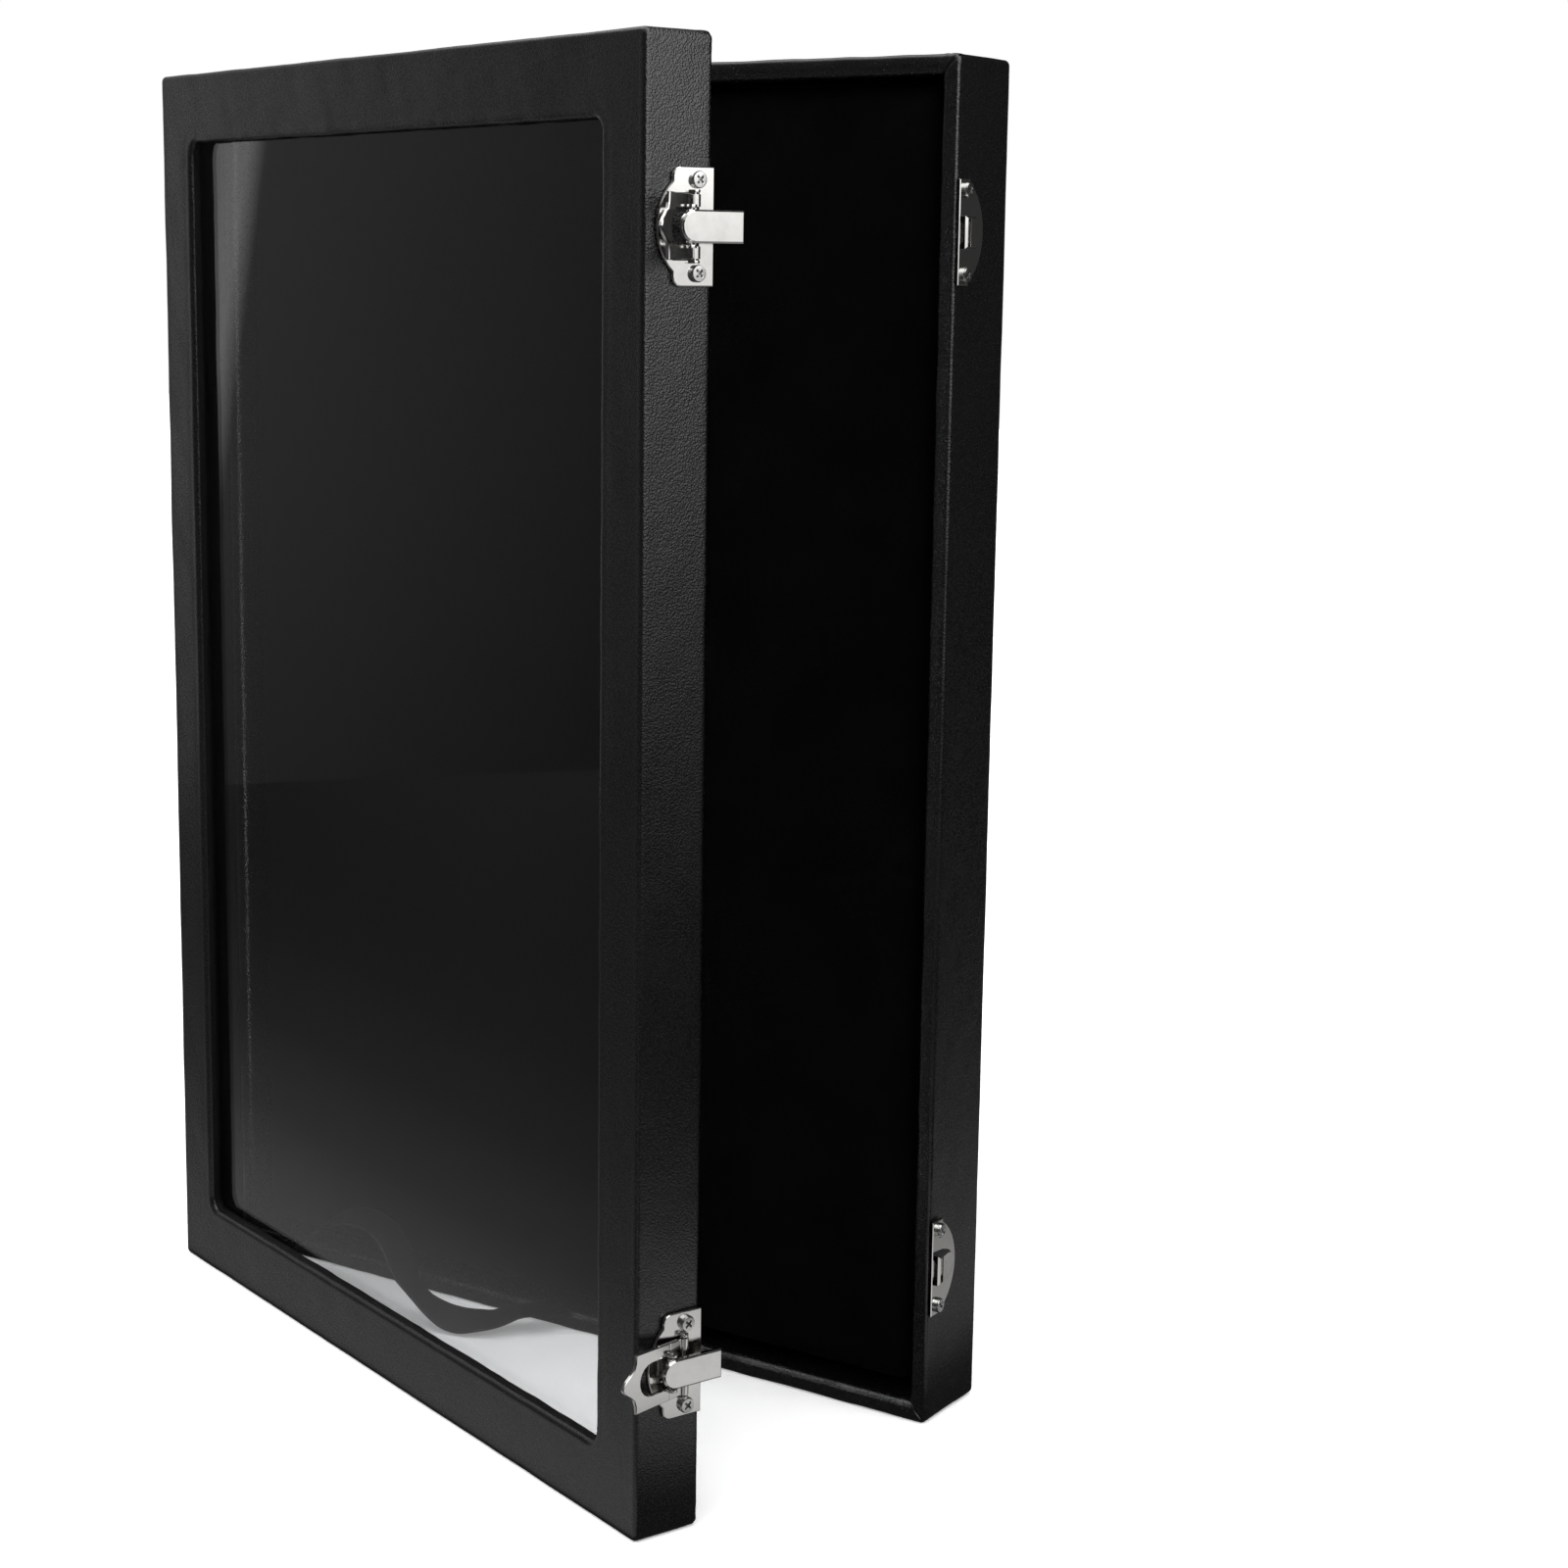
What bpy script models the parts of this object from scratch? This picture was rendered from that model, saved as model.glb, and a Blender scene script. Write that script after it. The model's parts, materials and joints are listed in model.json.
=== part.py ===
"""Pin display case: a leatherette tray with a velvet pad, and a window lid held by two lever latches.

The case stands on a short side with its lid open, as shown. All lengths are in metres, +Z is up, the
window side faces -Y and the latches are at +X. The origin is the middle of the base's standing face.

Every piece is modelled where it lies with the lid shut and the latches fastened. The moving pieces hang
on empties that stand on the joint axes, and the empties are then turned to the shown pose.
"""

import math

import bmesh
import bpy
from mathutils import Vector

# Case
CASE_HEIGHT = 0.350
CASE_WIDTH = 0.242
BASE_DEPTH = 0.0265
LID_DEPTH = 0.0185
SEAM_GAP = 0.0003

# Clearance between pieces that touch on the real case, and how far cutters run past what they cut
FIT_GAP = 0.0003
OVERRUN = 0.0020

# Shown pose
LID_OPENING = math.radians(20.0)
UPPER_LEVER_SWING = math.radians(34.0)
LOWER_LEVER_SWING = math.radians(12.0)

# Leatherette and the boards under it
COVER_THICK = 0.0007
WALL_THICK = 0.0030
FRONT_BOARD_THICK = 0.0026
BACK_BOARD_THICK = 0.0026
EDGE_RADIUS = 0.0012
RIM_EDGE_RADIUS = 0.0010
CORNER_RADIUS = 0.0016
INNER_CORNER_RADIUS = 0.0006
BACK_TURNOVER = 0.0090

# Window
WINDOW_SIDE_BORDER = 0.0173
WINDOW_END_BORDER = 0.0188
WINDOW_CORNER_RADIUS = 0.0035
WINDOW_EDGE_RADIUS = 0.0016
PANE_THICK = 0.0015
RETAINER_WIDTH = 0.0030
RETAINER_DEPTH = 0.0025

# Pad
PAD_SIDE_GAP = 0.0006
PAD_RECESS = 0.0020
PAD_CROWN = 0.0010
PAD_EDGE_RADIUS = 0.0030
PAD_CORNER_RADIUS = 0.0030
PAD_BOARD_THICK = 0.0015
VELVET_THICK = 0.0008

# Screws
SCREW_HEAD_RADIUS = 0.0018
SCREW_HEAD_HEIGHT = 0.0010
SCREW_SHANK_RADIUS = 0.0007
SCREW_REACH = 0.0032
SCREW_SLOT_WIDTH = 0.0005
SCREW_SLOT_LENGTH = 0.0022
SCREW_SLOT_DEPTH = 0.0005
SCREW_HOLE_FLOOR = 0.0003

# Latch plates on the lid
LATCH_FROM_END = 0.0425
SHEET_THICK = 0.0008
SHEET_BEVEL = 0.0002
PLATE_INSET = 0.0004
PLATE_TAB_WIDTH = 0.0110
PLATE_HALF_LENGTH = 0.0130
PLATE_BULGE_HALF = 0.0098
PLATE_BULGE_DEPTH = 0.0043
PLATE_CORNER_RADIUS = 0.0020
PLATE_WINDOW_START = 0.0044
PLATE_WINDOW_WIDTH = 0.0072
PLATE_WINDOW_HALF = 0.0074
LATCH_SCREW_FROM_SEAM = 0.0050
LATCH_SCREW_SPACING = 0.0204
EAR_THICK = 0.0006
EAR_RADIUS = 0.0012

# Lever, from its pin outwards
LEVER_PIN_FROM_SEAM = 0.0062
LEVER_PIN_RISE = 0.0019
LEVER_PIN_RADIUS = 0.0005
LEVER_BARREL_RADIUS = 0.0013
LEVER_BORE_RADIUS = 0.0008
LEVER_ROOT_HALF = 0.0070
LEVER_SHOULDER_HALF = 0.0073
LEVER_SHOULDER_REACH = 0.0164
LEVER_TIP_REACH = 0.0210
LEVER_SLOT_HALF = 0.0040
LEVER_SLOT_REACH = 0.0151
LEVER_KNUCKLE_INSET = 0.0003
HOOK_LUG_RADIUS = 0.0013
HOOK_LUG_THICK = 0.0007

# Hook
HOOK_PIN_REACH = 0.0049
HOOK_PIN_RISE = 0.0010
HOOK_PIN_RADIUS = 0.0004
HOOK_BORE_RADIUS = 0.0007
HOOK_HALF_WIDTH = 0.0036
HOOK_WEB_ABOVE_PIN = 0.0012
HOOK_WALL_ABOVE_PIN = 0.0006
HOOK_SHEET_THICK = 0.0007
HOOK_END_PAST_SEAM = 0.0021
HOOK_LIP_BELOW_PIN = 0.0009
HOOK_LIP_HALF = 0.0030
HOOK_EAR_RADIUS = 0.0012
HOOK_TOP_BEVEL = 0.0004

# Keeper on the base
KEEPER_INSET = 0.0002
KEEPER_TAB_WIDTH = 0.0052
KEEPER_HALF_LENGTH = 0.0128
KEEPER_BULGE_DEPTH = 0.0069
KEEPER_CORNER_RADIUS = 0.0008
KEEPER_SCREW_FROM_RIM = 0.0032
HOOD_START = 0.0004
HOOD_HALF_WIDTH = 0.0040
HOOD_RISE = 0.0032
HOOD_LENGTH = 0.0101
HOOD_TAIL_DROP = 0.0014
HOOD_BAR_WIDTH = 0.0007
HOOD_MOUTH_HALF = 0.0028
HOOD_MOUTH_RISE = 0.0025
HOOD_SLOT_WIDTH = 0.0018
HOOD_SLOT_HALF = 0.0034
HOOD_BEVEL = 0.0006

# Hinges
HINGE_FROM_END = 0.0700
HINGE_LENGTH = 0.0300
KNUCKLE_RADIUS = 0.0018
HINGE_SHEET_THICK = 0.0008
HINGE_PIN_RADIUS = 0.0007
HINGE_PIN_HEAD_RADIUS = 0.0013
HINGE_PIN_HEAD_HEIGHT = 0.0008
HINGE_LEAF_WIDTH = 0.0120
HINGE_LEAF_CLEARANCE = 0.0022
HINGE_SCREW_FROM_AXIS = 0.0078
HINGE_SCREW_SPACING = 0.0180
MIDDLE_KNUCKLE = 0.0150
KNUCKLE_END_GAP = 0.0003
KNUCKLE_CURL = 290.0

# Stay ribbon
RIBBON_WIDTH = 0.0100
RIBBON_THICK = 0.0005
RIBBON_SWAY = 0.0265

# Shares, chosen by hand
LEVER_OGEE_SHARES = ((0.00, 0.97), (0.03, 0.72), (0.14, 0.52), (0.42, 0.36), (0.70, 0.24), (0.90, 0.12))
SCREW_HEAD_SHARES = ((0.55, 0.10), (0.88, 0.42), (1.00, 0.80))
CROWN_SHARES = ((0.08, 0.35), (0.25, 0.72), (0.55, 0.95), (0.80, 1.00))

# Places that follow from the sizes
HALF_WIDTH = CASE_WIDTH / 2
HALF_HEIGHT = CASE_HEIGHT / 2
RIM_Y = -BASE_DEPTH / 2
BACK_Y = BASE_DEPTH / 2
LID_CLOSE_Y = RIM_Y - SEAM_GAP
LID_FRONT_Y = LID_CLOSE_Y - LID_DEPTH
SKIN = COVER_THICK + FIT_GAP
RIM_WIDTH = SKIN + WALL_THICK + SKIN
BOARD_BACK_Y = LID_FRONT_Y + SKIN + FRONT_BOARD_THICK
PANE_FRONT_Y = BOARD_BACK_Y + FIT_GAP
PANE_BACK_Y = PANE_FRONT_Y + PANE_THICK
BACK_BOARD_FRONT_Y = BACK_Y - SKIN - BACK_BOARD_THICK
PAD_BOARD_BACK_Y = BACK_BOARD_FRONT_Y - FIT_GAP
PAD_BOARD_FRONT_Y = PAD_BOARD_BACK_Y - PAD_BOARD_THICK
PAD_BACK_Y = PAD_BOARD_FRONT_Y - FIT_GAP
PAD_EDGE_Y = RIM_Y + PAD_RECESS
PLATE_LOW = FIT_GAP
PLATE_TOP = PLATE_LOW + SHEET_THICK
AXIS_X = -HALF_WIDTH - FIT_GAP - KNUCKLE_RADIUS
AXIS_Y = RIM_Y - SEAM_GAP / 2
UPPER_Z = CASE_HEIGHT - LATCH_FROM_END
LOWER_Z = LATCH_FROM_END

ARC_STEPS = 3
CORNER_STEPS = 4
ROUND_SEGMENTS = 16
SCREW_SEGMENTS = 12
SHARP_ANGLE = math.radians(35.0)

MATERIALS = {
    "leatherette": ((0.018, 0.018, 0.019, 1.0), 0.45, 0.0),
    "board": ((0.36, 0.26, 0.16, 1.0), 0.80, 0.0),
    "timber": ((0.55, 0.40, 0.24, 1.0), 0.75, 0.0),
    "velvet": ((0.004, 0.004, 0.005, 1.0), 0.95, 0.0),
    "foam": ((0.10, 0.10, 0.11, 1.0), 0.95, 0.0),
    "clear": ((0.90, 0.93, 0.95, 1.0), 0.05, 0.0),
    "nickel": ((0.78, 0.77, 0.75, 1.0), 0.18, 1.0),
    "steel": ((0.62, 0.62, 0.62, 1.0), 0.28, 1.0),
    "ribbon": ((0.012, 0.012, 0.014, 1.0), 0.55, 0.0),
}


def clear_scene():
    """Remove whatever the open file holds."""
    for obj in list(bpy.data.objects):
        bpy.data.objects.remove(obj, do_unlink=True)


def make_material(name):
    """Principled material with the colour, roughness and metallic value of one finish."""
    colour, roughness, metallic = MATERIALS[name]
    material = bpy.data.materials.new(name)
    material.use_nodes = True
    shader = material.node_tree.nodes["Principled BSDF"]
    shader.inputs["Base Color"].default_value = colour
    shader.inputs["Roughness"].default_value = roughness
    shader.inputs["Metallic"].default_value = metallic
    material.diffuse_color = colour
    return material


class Carrier:
    """An empty on a joint axis, and where that axis stands with the case shut."""

    def __init__(self, name, place, parent=None, turn=0.0):
        self.place = Vector(place)
        self.empty = bpy.data.objects.new(name, None)
        bpy.context.collection.objects.link(self.empty)
        self.empty.location = self.place - (parent.place if parent else Vector())
        self.empty.rotation_euler = (0.0, 0.0, turn)
        if parent:
            self.empty.parent = parent.empty


def add_piece(name, shape, finish, carrier, place=(0.0, 0.0, 0.0)):
    """Turn a bmesh, modelled around place, into the named object that rides on its carrier."""
    bmesh.ops.recalc_face_normals(shape, faces=shape.faces)
    mesh = bpy.data.meshes.new(name)
    shape.to_mesh(mesh)
    shape.free()
    mesh.shade_smooth()
    mesh.set_sharp_from_angle(angle=SHARP_ANGLE)
    mesh.materials.append(make_material(finish))
    obj = bpy.data.objects.new(name, mesh)
    bpy.context.collection.objects.link(obj)
    obj.parent = carrier.empty
    obj.location = Vector(place) - carrier.place
    return obj


def merge(shapes):
    """Several separate solids as one bmesh."""
    whole = bmesh.new()
    for shape in shapes:
        part = bpy.data.meshes.new("part")
        shape.to_mesh(part)
        shape.free()
        whole.from_mesh(part)
        bpy.data.meshes.remove(part)
    return whole


def combine(body, tool, operation):
    """Boolean of two closed shapes."""
    pair = []
    for shape in (body, tool):
        bmesh.ops.recalc_face_normals(shape, faces=shape.faces)
        mesh = bpy.data.meshes.new("temporary")
        shape.to_mesh(mesh)
        shape.free()
        obj = bpy.data.objects.new("temporary", mesh)
        bpy.context.collection.objects.link(obj)
        pair.append(obj)
    modifier = pair[0].modifiers.new("combine", "BOOLEAN")
    modifier.operation = operation
    modifier.solver = "EXACT"
    modifier.object = pair[1]
    bpy.context.view_layer.update()
    evaluated = pair[0].evaluated_get(bpy.context.evaluated_depsgraph_get())
    result = bmesh.new()
    result.from_mesh(evaluated.to_mesh())
    evaluated.to_mesh_clear()
    for obj in pair:
        mesh = obj.data
        bpy.data.objects.remove(obj, do_unlink=True)
        bpy.data.meshes.remove(mesh)
    return result


def cut(body, tool):
    return combine(body, tool, "DIFFERENCE")


def join(body, tool):
    return combine(body, tool, "UNION")


def arc(centre, radius, start, end, steps):
    """Points on an arc, both ends included, angles in degrees."""
    points = []
    for step in range(steps + 1):
        angle = math.radians(start + (end - start) * step / steps)
        points.append((centre[0] + radius * math.cos(angle), centre[1] + radius * math.sin(angle)))
    return points


def circle(centre, radius, segments=ROUND_SEGMENTS):
    return arc(centre, radius, 0.0, 360.0 * (segments - 1) / segments, segments - 1)


def filleted(corners, steps=ARC_STEPS):
    """A polyline whose corners are rounded. Each corner is (a, b, radius); radius 0 stays sharp."""
    points = []
    count = len(corners)
    for index, (a, b, radius) in enumerate(corners):
        if not radius:
            points.append((a, b))
            continue
        here = Vector((a, b))
        back = (Vector(corners[index - 1][:2]) - here).normalized()
        ahead = (Vector(corners[(index + 1) % count][:2]) - here).normalized()
        half = back.angle(ahead) / 2
        centre = here + (back + ahead).normalized() * (radius / math.sin(half))
        first = here + back * (radius / math.tan(half)) - centre
        last = here + ahead * (radius / math.tan(half)) - centre
        sweep = math.pi - 2 * half
        side = 1.0 if first.x * last.y - first.y * last.x > 0 else -1.0
        for step in range(steps + 1):
            turn = side * sweep * step / steps
            spoke = Vector((
                first.x * math.cos(turn) - first.y * math.sin(turn),
                first.x * math.sin(turn) + first.y * math.cos(turn),
            ))
            points.append(tuple(centre + spoke))
    return points


def prism(outline, axis, low, high):
    """Extrude an outline. Axis x takes (y, z) points, axis y takes (x, z), axis z takes (x, y)."""
    shape = bmesh.new()
    rings = []
    for level in (low, high):
        ring = []
        for a, b in outline:
            point = {"x": (level, a, b), "y": (a, level, b), "z": (a, b, level)}[axis]
            ring.append(shape.verts.new(point))
        rings.append(ring)
    shape.faces.new(rings[0])
    shape.faces.new(list(reversed(rings[1])))
    count = len(outline)
    for index in range(count):
        after = (index + 1) % count
        shape.faces.new((rings[0][index], rings[0][after], rings[1][after], rings[1][index]))
    bmesh.ops.recalc_face_normals(shape, faces=shape.faces)
    return shape


def block(x_low, x_high, y_low, y_high, z_low, z_high):
    outline = [(x_low, y_low), (x_high, y_low), (x_high, y_high), (x_low, y_high)]
    return prism(outline, "z", z_low, z_high)


def turned(profile, centre, segments):
    """Turn a profile of (radius, x) points, which starts and ends on the axis, about an axis along X."""
    shape = bmesh.new()
    rings = []
    for radius, x in profile:
        if not radius:
            rings.append([shape.verts.new((centre[0] + x, centre[1], centre[2]))])
            continue
        rings.append([
            shape.verts.new((centre[0] + x, centre[1] + a, centre[2] + b))
            for a, b in circle((0.0, 0.0), radius, segments)
        ])
    for first, second in zip(rings, rings[1:]):
        for index in range(segments):
            after = (index + 1) % segments
            corners = [first[index % len(first)], first[after % len(first)]]
            corners += [second[after % len(second)], second[index % len(second)]]
            corners = list(dict.fromkeys(corners))
            shape.faces.new(corners)
    bmesh.ops.recalc_face_normals(shape, faces=shape.faces)
    return shape


def rounded_rectangle(half_x, half_z, radius, steps=CORNER_STEPS):
    """Points (x, z) round a rectangle whose middle is the middle of the case."""
    points = []
    for sign_x, sign_z, start in ((1, 1, 0.0), (-1, 1, 90.0), (-1, -1, 180.0), (1, -1, 270.0)):
        centre = (sign_x * (half_x - radius), HALF_HEIGHT + sign_z * (half_z - radius))
        points += arc(centre, radius, start, start + 90.0, steps)
    return points


def lofted(rings, closed):
    """Skin through rings of (x, y, z) points. Closed joins last to first; else both ends are capped."""
    shape = bmesh.new()
    rows = [[shape.verts.new(point) for point in ring] for ring in rings]
    pairs = list(zip(rows, rows[1:]))
    if closed:
        pairs.append((rows[-1], rows[0]))
    else:
        shape.faces.new(rows[0])
        shape.faces.new(list(reversed(rows[-1])))
    for first, second in pairs:
        count = len(first)
        for index in range(count):
            after = (index + 1) % count
            shape.faces.new((first[index], first[after], second[after], second[index]))
    bmesh.ops.recalc_face_normals(shape, faces=shape.faces)
    return shape


def drawn_in(outline, amount):
    """An outline made smaller by an amount all round, with mitred corners."""
    count = len(outline)
    points = [Vector(point) for point in outline]
    area = sum(a.x * b.y - b.x * a.y for a, b in zip(points, points[1:] + points[:1]))
    inward = 1.0 if area > 0 else -1.0
    result = []
    for index, here in enumerate(points):
        normals = []
        for run in (here - points[index - 1], points[(index + 1) % count] - here):
            run = run.normalized() * inward
            normals.append(Vector((-run.y, run.x)))
        mitre = (normals[0] + normals[1]).normalized()
        result.append(tuple(here + mitre * (amount / mitre.dot(normals[0]))))
    return result


def pressed_sheet(outline, low, high):
    """Sheet metal cut to an outline in (y, z), with a bevel round its outer face."""
    levels = ((low, 0.0), (high - SHEET_BEVEL, 0.0), (high, SHEET_BEVEL))
    rings = [[(level, a, b) for a, b in drawn_in(outline, inset)] for level, inset in levels]
    return lofted(rings, closed=False)


def rectangle_ring(inset, y, radius, side_shift=0.0):
    """One ring of the case's outline, drawn in by inset; side_shift widens it along X alone."""
    outline = rounded_rectangle(HALF_WIDTH - inset + side_shift, HALF_HEIGHT - inset, radius)
    return [(x, y, z) for x, z in outline]


def frame_ring(inset, y):
    """Ring for a cover's section: small corners near the outside, wide corners at the window."""
    if inset > RIM_WIDTH + FIT_GAP:
        radius = WINDOW_CORNER_RADIUS + WINDOW_END_BORDER - inset
        return rectangle_ring(inset, y, radius, WINDOW_END_BORDER - WINDOW_SIDE_BORDER)
    return rectangle_ring(inset, y, max(CORNER_RADIUS - inset, INNER_CORNER_RADIUS))


def flat_panel(inset, y_low, y_high):
    """A flat panel that fills the case's outline, drawn in by an inset."""
    rings = [rectangle_ring(inset, y, INNER_CORNER_RADIUS) for y in (y_low, y_high)]
    return lofted(rings, closed=False)


def screw_places():
    """Where every screw sits: side of the case, Y and Z, for each group of screws, upper ones first."""
    half = LATCH_SCREW_SPACING / 2
    reach = HINGE_SCREW_SPACING / 2
    groups = {"latch_plate": [], "keeper": [], "hinge_lid": [], "hinge_base": []}
    for z in (UPPER_Z, LOWER_Z):
        for offset in (half, -half):
            groups["latch_plate"].append((1, LID_CLOSE_Y - LATCH_SCREW_FROM_SEAM, z + offset))
            groups["keeper"].append((1, RIM_Y + KEEPER_SCREW_FROM_RIM, z + offset))
    for z in (CASE_HEIGHT - HINGE_FROM_END, HINGE_FROM_END):
        for offset in (reach, -reach):
            groups["hinge_lid"].append((-1, AXIS_Y - HINGE_SCREW_FROM_AXIS, z + offset))
            groups["hinge_base"].append((-1, AXIS_Y + HINGE_SCREW_FROM_AXIS, z + offset))
    return groups


SCREWS = screw_places()


def screw_cutters(groups):
    """Clearance holes for groups of screws, from outside the heads to just past the tips."""
    depth = SCREW_REACH + SCREW_HOLE_FLOOR
    radius = SCREW_SHANK_RADIUS + FIT_GAP
    cutters = []
    for group in groups:
        for side, y, z in SCREWS[group]:
            ends = sorted((side * (HALF_WIDTH - depth), side * (HALF_WIDTH + OVERRUN)))
            cutters.append(prism(circle((y, z), radius, SCREW_SEGMENTS), "x", ends[0], ends[1]))
    return merge(cutters)


def screw():
    """Cross slotted round head screw along X; its origin is on the face of the case's side."""
    under = PLATE_TOP + FIT_GAP
    top = under + SCREW_HEAD_HEIGHT
    profile = [(0.0, top)]
    for radius_share, drop_share in SCREW_HEAD_SHARES:
        profile.append((SCREW_HEAD_RADIUS * radius_share, top - SCREW_HEAD_HEIGHT * drop_share))
    profile += [
        (SCREW_HEAD_RADIUS, under),
        (SCREW_SHANK_RADIUS, under),
        (SCREW_SHANK_RADIUS, SCREW_SHANK_RADIUS - SCREW_REACH),
        (0.0, -SCREW_REACH),
    ]
    wide = SCREW_SLOT_WIDTH / 2
    long = SCREW_SLOT_LENGTH / 2
    bottom = top - SCREW_SLOT_DEPTH
    shape = turned(profile, (0.0, 0.0, 0.0), SCREW_SEGMENTS)
    shape = cut(shape, block(bottom, top + OVERRUN, -long, long, -wide, wide))
    return cut(shape, block(bottom, top + OVERRUN, -wide, wide, -long, long))


def add_screws(group, carrier):
    """Every screw of a group as its own object; those of the left side are turned round."""
    for number, (side, y, z) in enumerate(SCREWS[group], start=1):
        place = (side * HALF_WIDTH, y, z)
        obj = add_piece(f"{group}_screw_{number}", screw(), "steel", carrier, place)
        if side < 0:
            obj.rotation_euler = (0.0, 0.0, math.pi)


def lid_cover():
    """Leatherette of the lid: window edge, front face, outer sides, rim and inner sides."""
    outside = filleted([
        (WINDOW_END_BORDER, BOARD_BACK_Y, 0.0),
        (WINDOW_END_BORDER, LID_FRONT_Y, WINDOW_EDGE_RADIUS),
        (0.0, LID_FRONT_Y, EDGE_RADIUS),
        (0.0, LID_CLOSE_Y, RIM_EDGE_RADIUS),
        (RIM_WIDTH, LID_CLOSE_Y, RIM_EDGE_RADIUS),
        (RIM_WIDTH, BOARD_BACK_Y, 0.0),
    ])
    inside = [
        (RIM_WIDTH - COVER_THICK, BOARD_BACK_Y),
        (RIM_WIDTH - COVER_THICK, LID_CLOSE_Y - COVER_THICK),
        (COVER_THICK, LID_CLOSE_Y - COVER_THICK),
        (COVER_THICK, LID_FRONT_Y + COVER_THICK),
        (WINDOW_END_BORDER - COVER_THICK, LID_FRONT_Y + COVER_THICK),
        (WINDOW_END_BORDER - COVER_THICK, BOARD_BACK_Y),
    ]
    shape = lofted([frame_ring(inset, y) for inset, y in outside + inside], closed=True)
    return cut(shape, screw_cutters(("latch_plate", "hinge_lid")))


def base_cover():
    """Leatherette of the base: turned on to the back, outer sides, rim and inner sides."""
    outside = filleted([
        (BACK_TURNOVER, BACK_Y, 0.0),
        (0.0, BACK_Y, EDGE_RADIUS),
        (0.0, RIM_Y, RIM_EDGE_RADIUS),
        (RIM_WIDTH, RIM_Y, RIM_EDGE_RADIUS),
        (RIM_WIDTH, BACK_BOARD_FRONT_Y - FIT_GAP, 0.0),
    ])
    inside = [
        (RIM_WIDTH - COVER_THICK, BACK_BOARD_FRONT_Y - FIT_GAP),
        (RIM_WIDTH - COVER_THICK, RIM_Y + COVER_THICK),
        (COVER_THICK, RIM_Y + COVER_THICK),
        (COVER_THICK, BACK_Y - COVER_THICK),
        (BACK_TURNOVER, BACK_Y - COVER_THICK),
    ]
    rings = []
    for inset, y in outside + inside:
        rings.append(rectangle_ring(inset, y, max(CORNER_RADIUS - inset, INNER_CORNER_RADIUS)))
    return cut(lofted(rings, closed=True), screw_cutters(("keeper", "hinge_base")))


def wall(side, y_low, y_high, cutters=None):
    """One side rail. The rails at the ends run between those at the sides."""
    outer_x = HALF_WIDTH - SKIN
    inner_x = outer_x - WALL_THICK
    low, high = SKIN, CASE_HEIGHT - SKIN
    if side in ("left", "right"):
        sign = 1 if side == "right" else -1
        ends = sorted((sign * inner_x, sign * outer_x))
        shape = block(ends[0], ends[1], y_low, y_high, low, high)
        return cut(shape, cutters) if cutters else shape
    reach = inner_x - FIT_GAP
    if side == "top":
        return block(-reach, reach, y_low, y_high, high - WALL_THICK, high)
    return block(-reach, reach, y_low, y_high, low, low + WALL_THICK)


def frame_panel(outer_inset, inner_inset, y_low, y_high, side_shift, inner_radius):
    """A flat frame with a rounded opening."""
    outer_radius = INNER_CORNER_RADIUS
    rings = [
        rectangle_ring(outer_inset, y_low, outer_radius),
        rectangle_ring(outer_inset, y_high, outer_radius),
        rectangle_ring(inner_inset, y_high, inner_radius, side_shift),
        rectangle_ring(inner_inset, y_low, inner_radius, side_shift),
    ]
    return lofted(rings, closed=True)


def pad_rings(inset, front_y, back_y, edge_radius):
    """Rings of the crowned pad from its back edge, round its front edge, to its middle."""
    rings = [rectangle_ring(inset, back_y, PAD_CORNER_RADIUS)]
    for a, b in arc((inset + edge_radius, front_y + edge_radius), edge_radius, 180.0, 270.0, ARC_STEPS):
        rings.append(rectangle_ring(a, b, PAD_CORNER_RADIUS))
    reach = HALF_WIDTH - inset - PAD_CORNER_RADIUS - edge_radius
    for share, rise_share in CROWN_SHARES:
        y = front_y - PAD_CROWN * rise_share
        rings.append(rectangle_ring(inset + edge_radius + reach * share, y, PAD_CORNER_RADIUS))
    return rings


def velvet_pad():
    """Velvet drawn over the foam: a thin crowned shell, open at the back."""
    inset = RIM_WIDTH + PAD_SIDE_GAP
    outer = pad_rings(inset, PAD_EDGE_Y, PAD_BACK_Y, PAD_EDGE_RADIUS)
    inner_inset = inset + VELVET_THICK
    inner_radius = PAD_EDGE_RADIUS - VELVET_THICK
    inner = pad_rings(inner_inset, PAD_EDGE_Y + VELVET_THICK, PAD_BACK_Y, inner_radius)
    return lofted(list(reversed(inner)) + outer, closed=False)


def pad_foam():
    """Foam block under the velvet."""
    skin = VELVET_THICK + FIT_GAP
    inset = RIM_WIDTH + PAD_SIDE_GAP + skin
    rings = pad_rings(inset, PAD_EDGE_Y + skin, PAD_BACK_Y, PAD_EDGE_RADIUS - skin)
    return lofted(rings, closed=False)


def plate_outline(tab, half_length, bulge_half, bulge, radius, direction):
    """Plate with a straight seam edge, square tabs and a round bulge, in (y, z) from the seam."""
    chord_rise = (bulge_half ** 2 - bulge ** 2) / (2 * bulge)
    bulge_radius = chord_rise + bulge
    half_angle = math.degrees(math.asin(min(bulge_half / bulge_radius, 1.0)))
    centre = (tab - chord_rise, 0.0)
    tabs = filleted([(0.0, half_length, 0.0), (0.0, -half_length, 0.0), (tab, -half_length, radius),
                     (tab, -bulge_half, 0.0)])
    curve = arc(centre, bulge_radius, -half_angle, half_angle, 4 * ARC_STEPS)
    end = filleted([(tab, bulge_half, 0.0), (tab, half_length, radius), (0.0, half_length, 0.0)])
    points = tabs[:-1] + curve + end[1:-1]
    return [(direction * a, b) for a, b in points]


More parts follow.
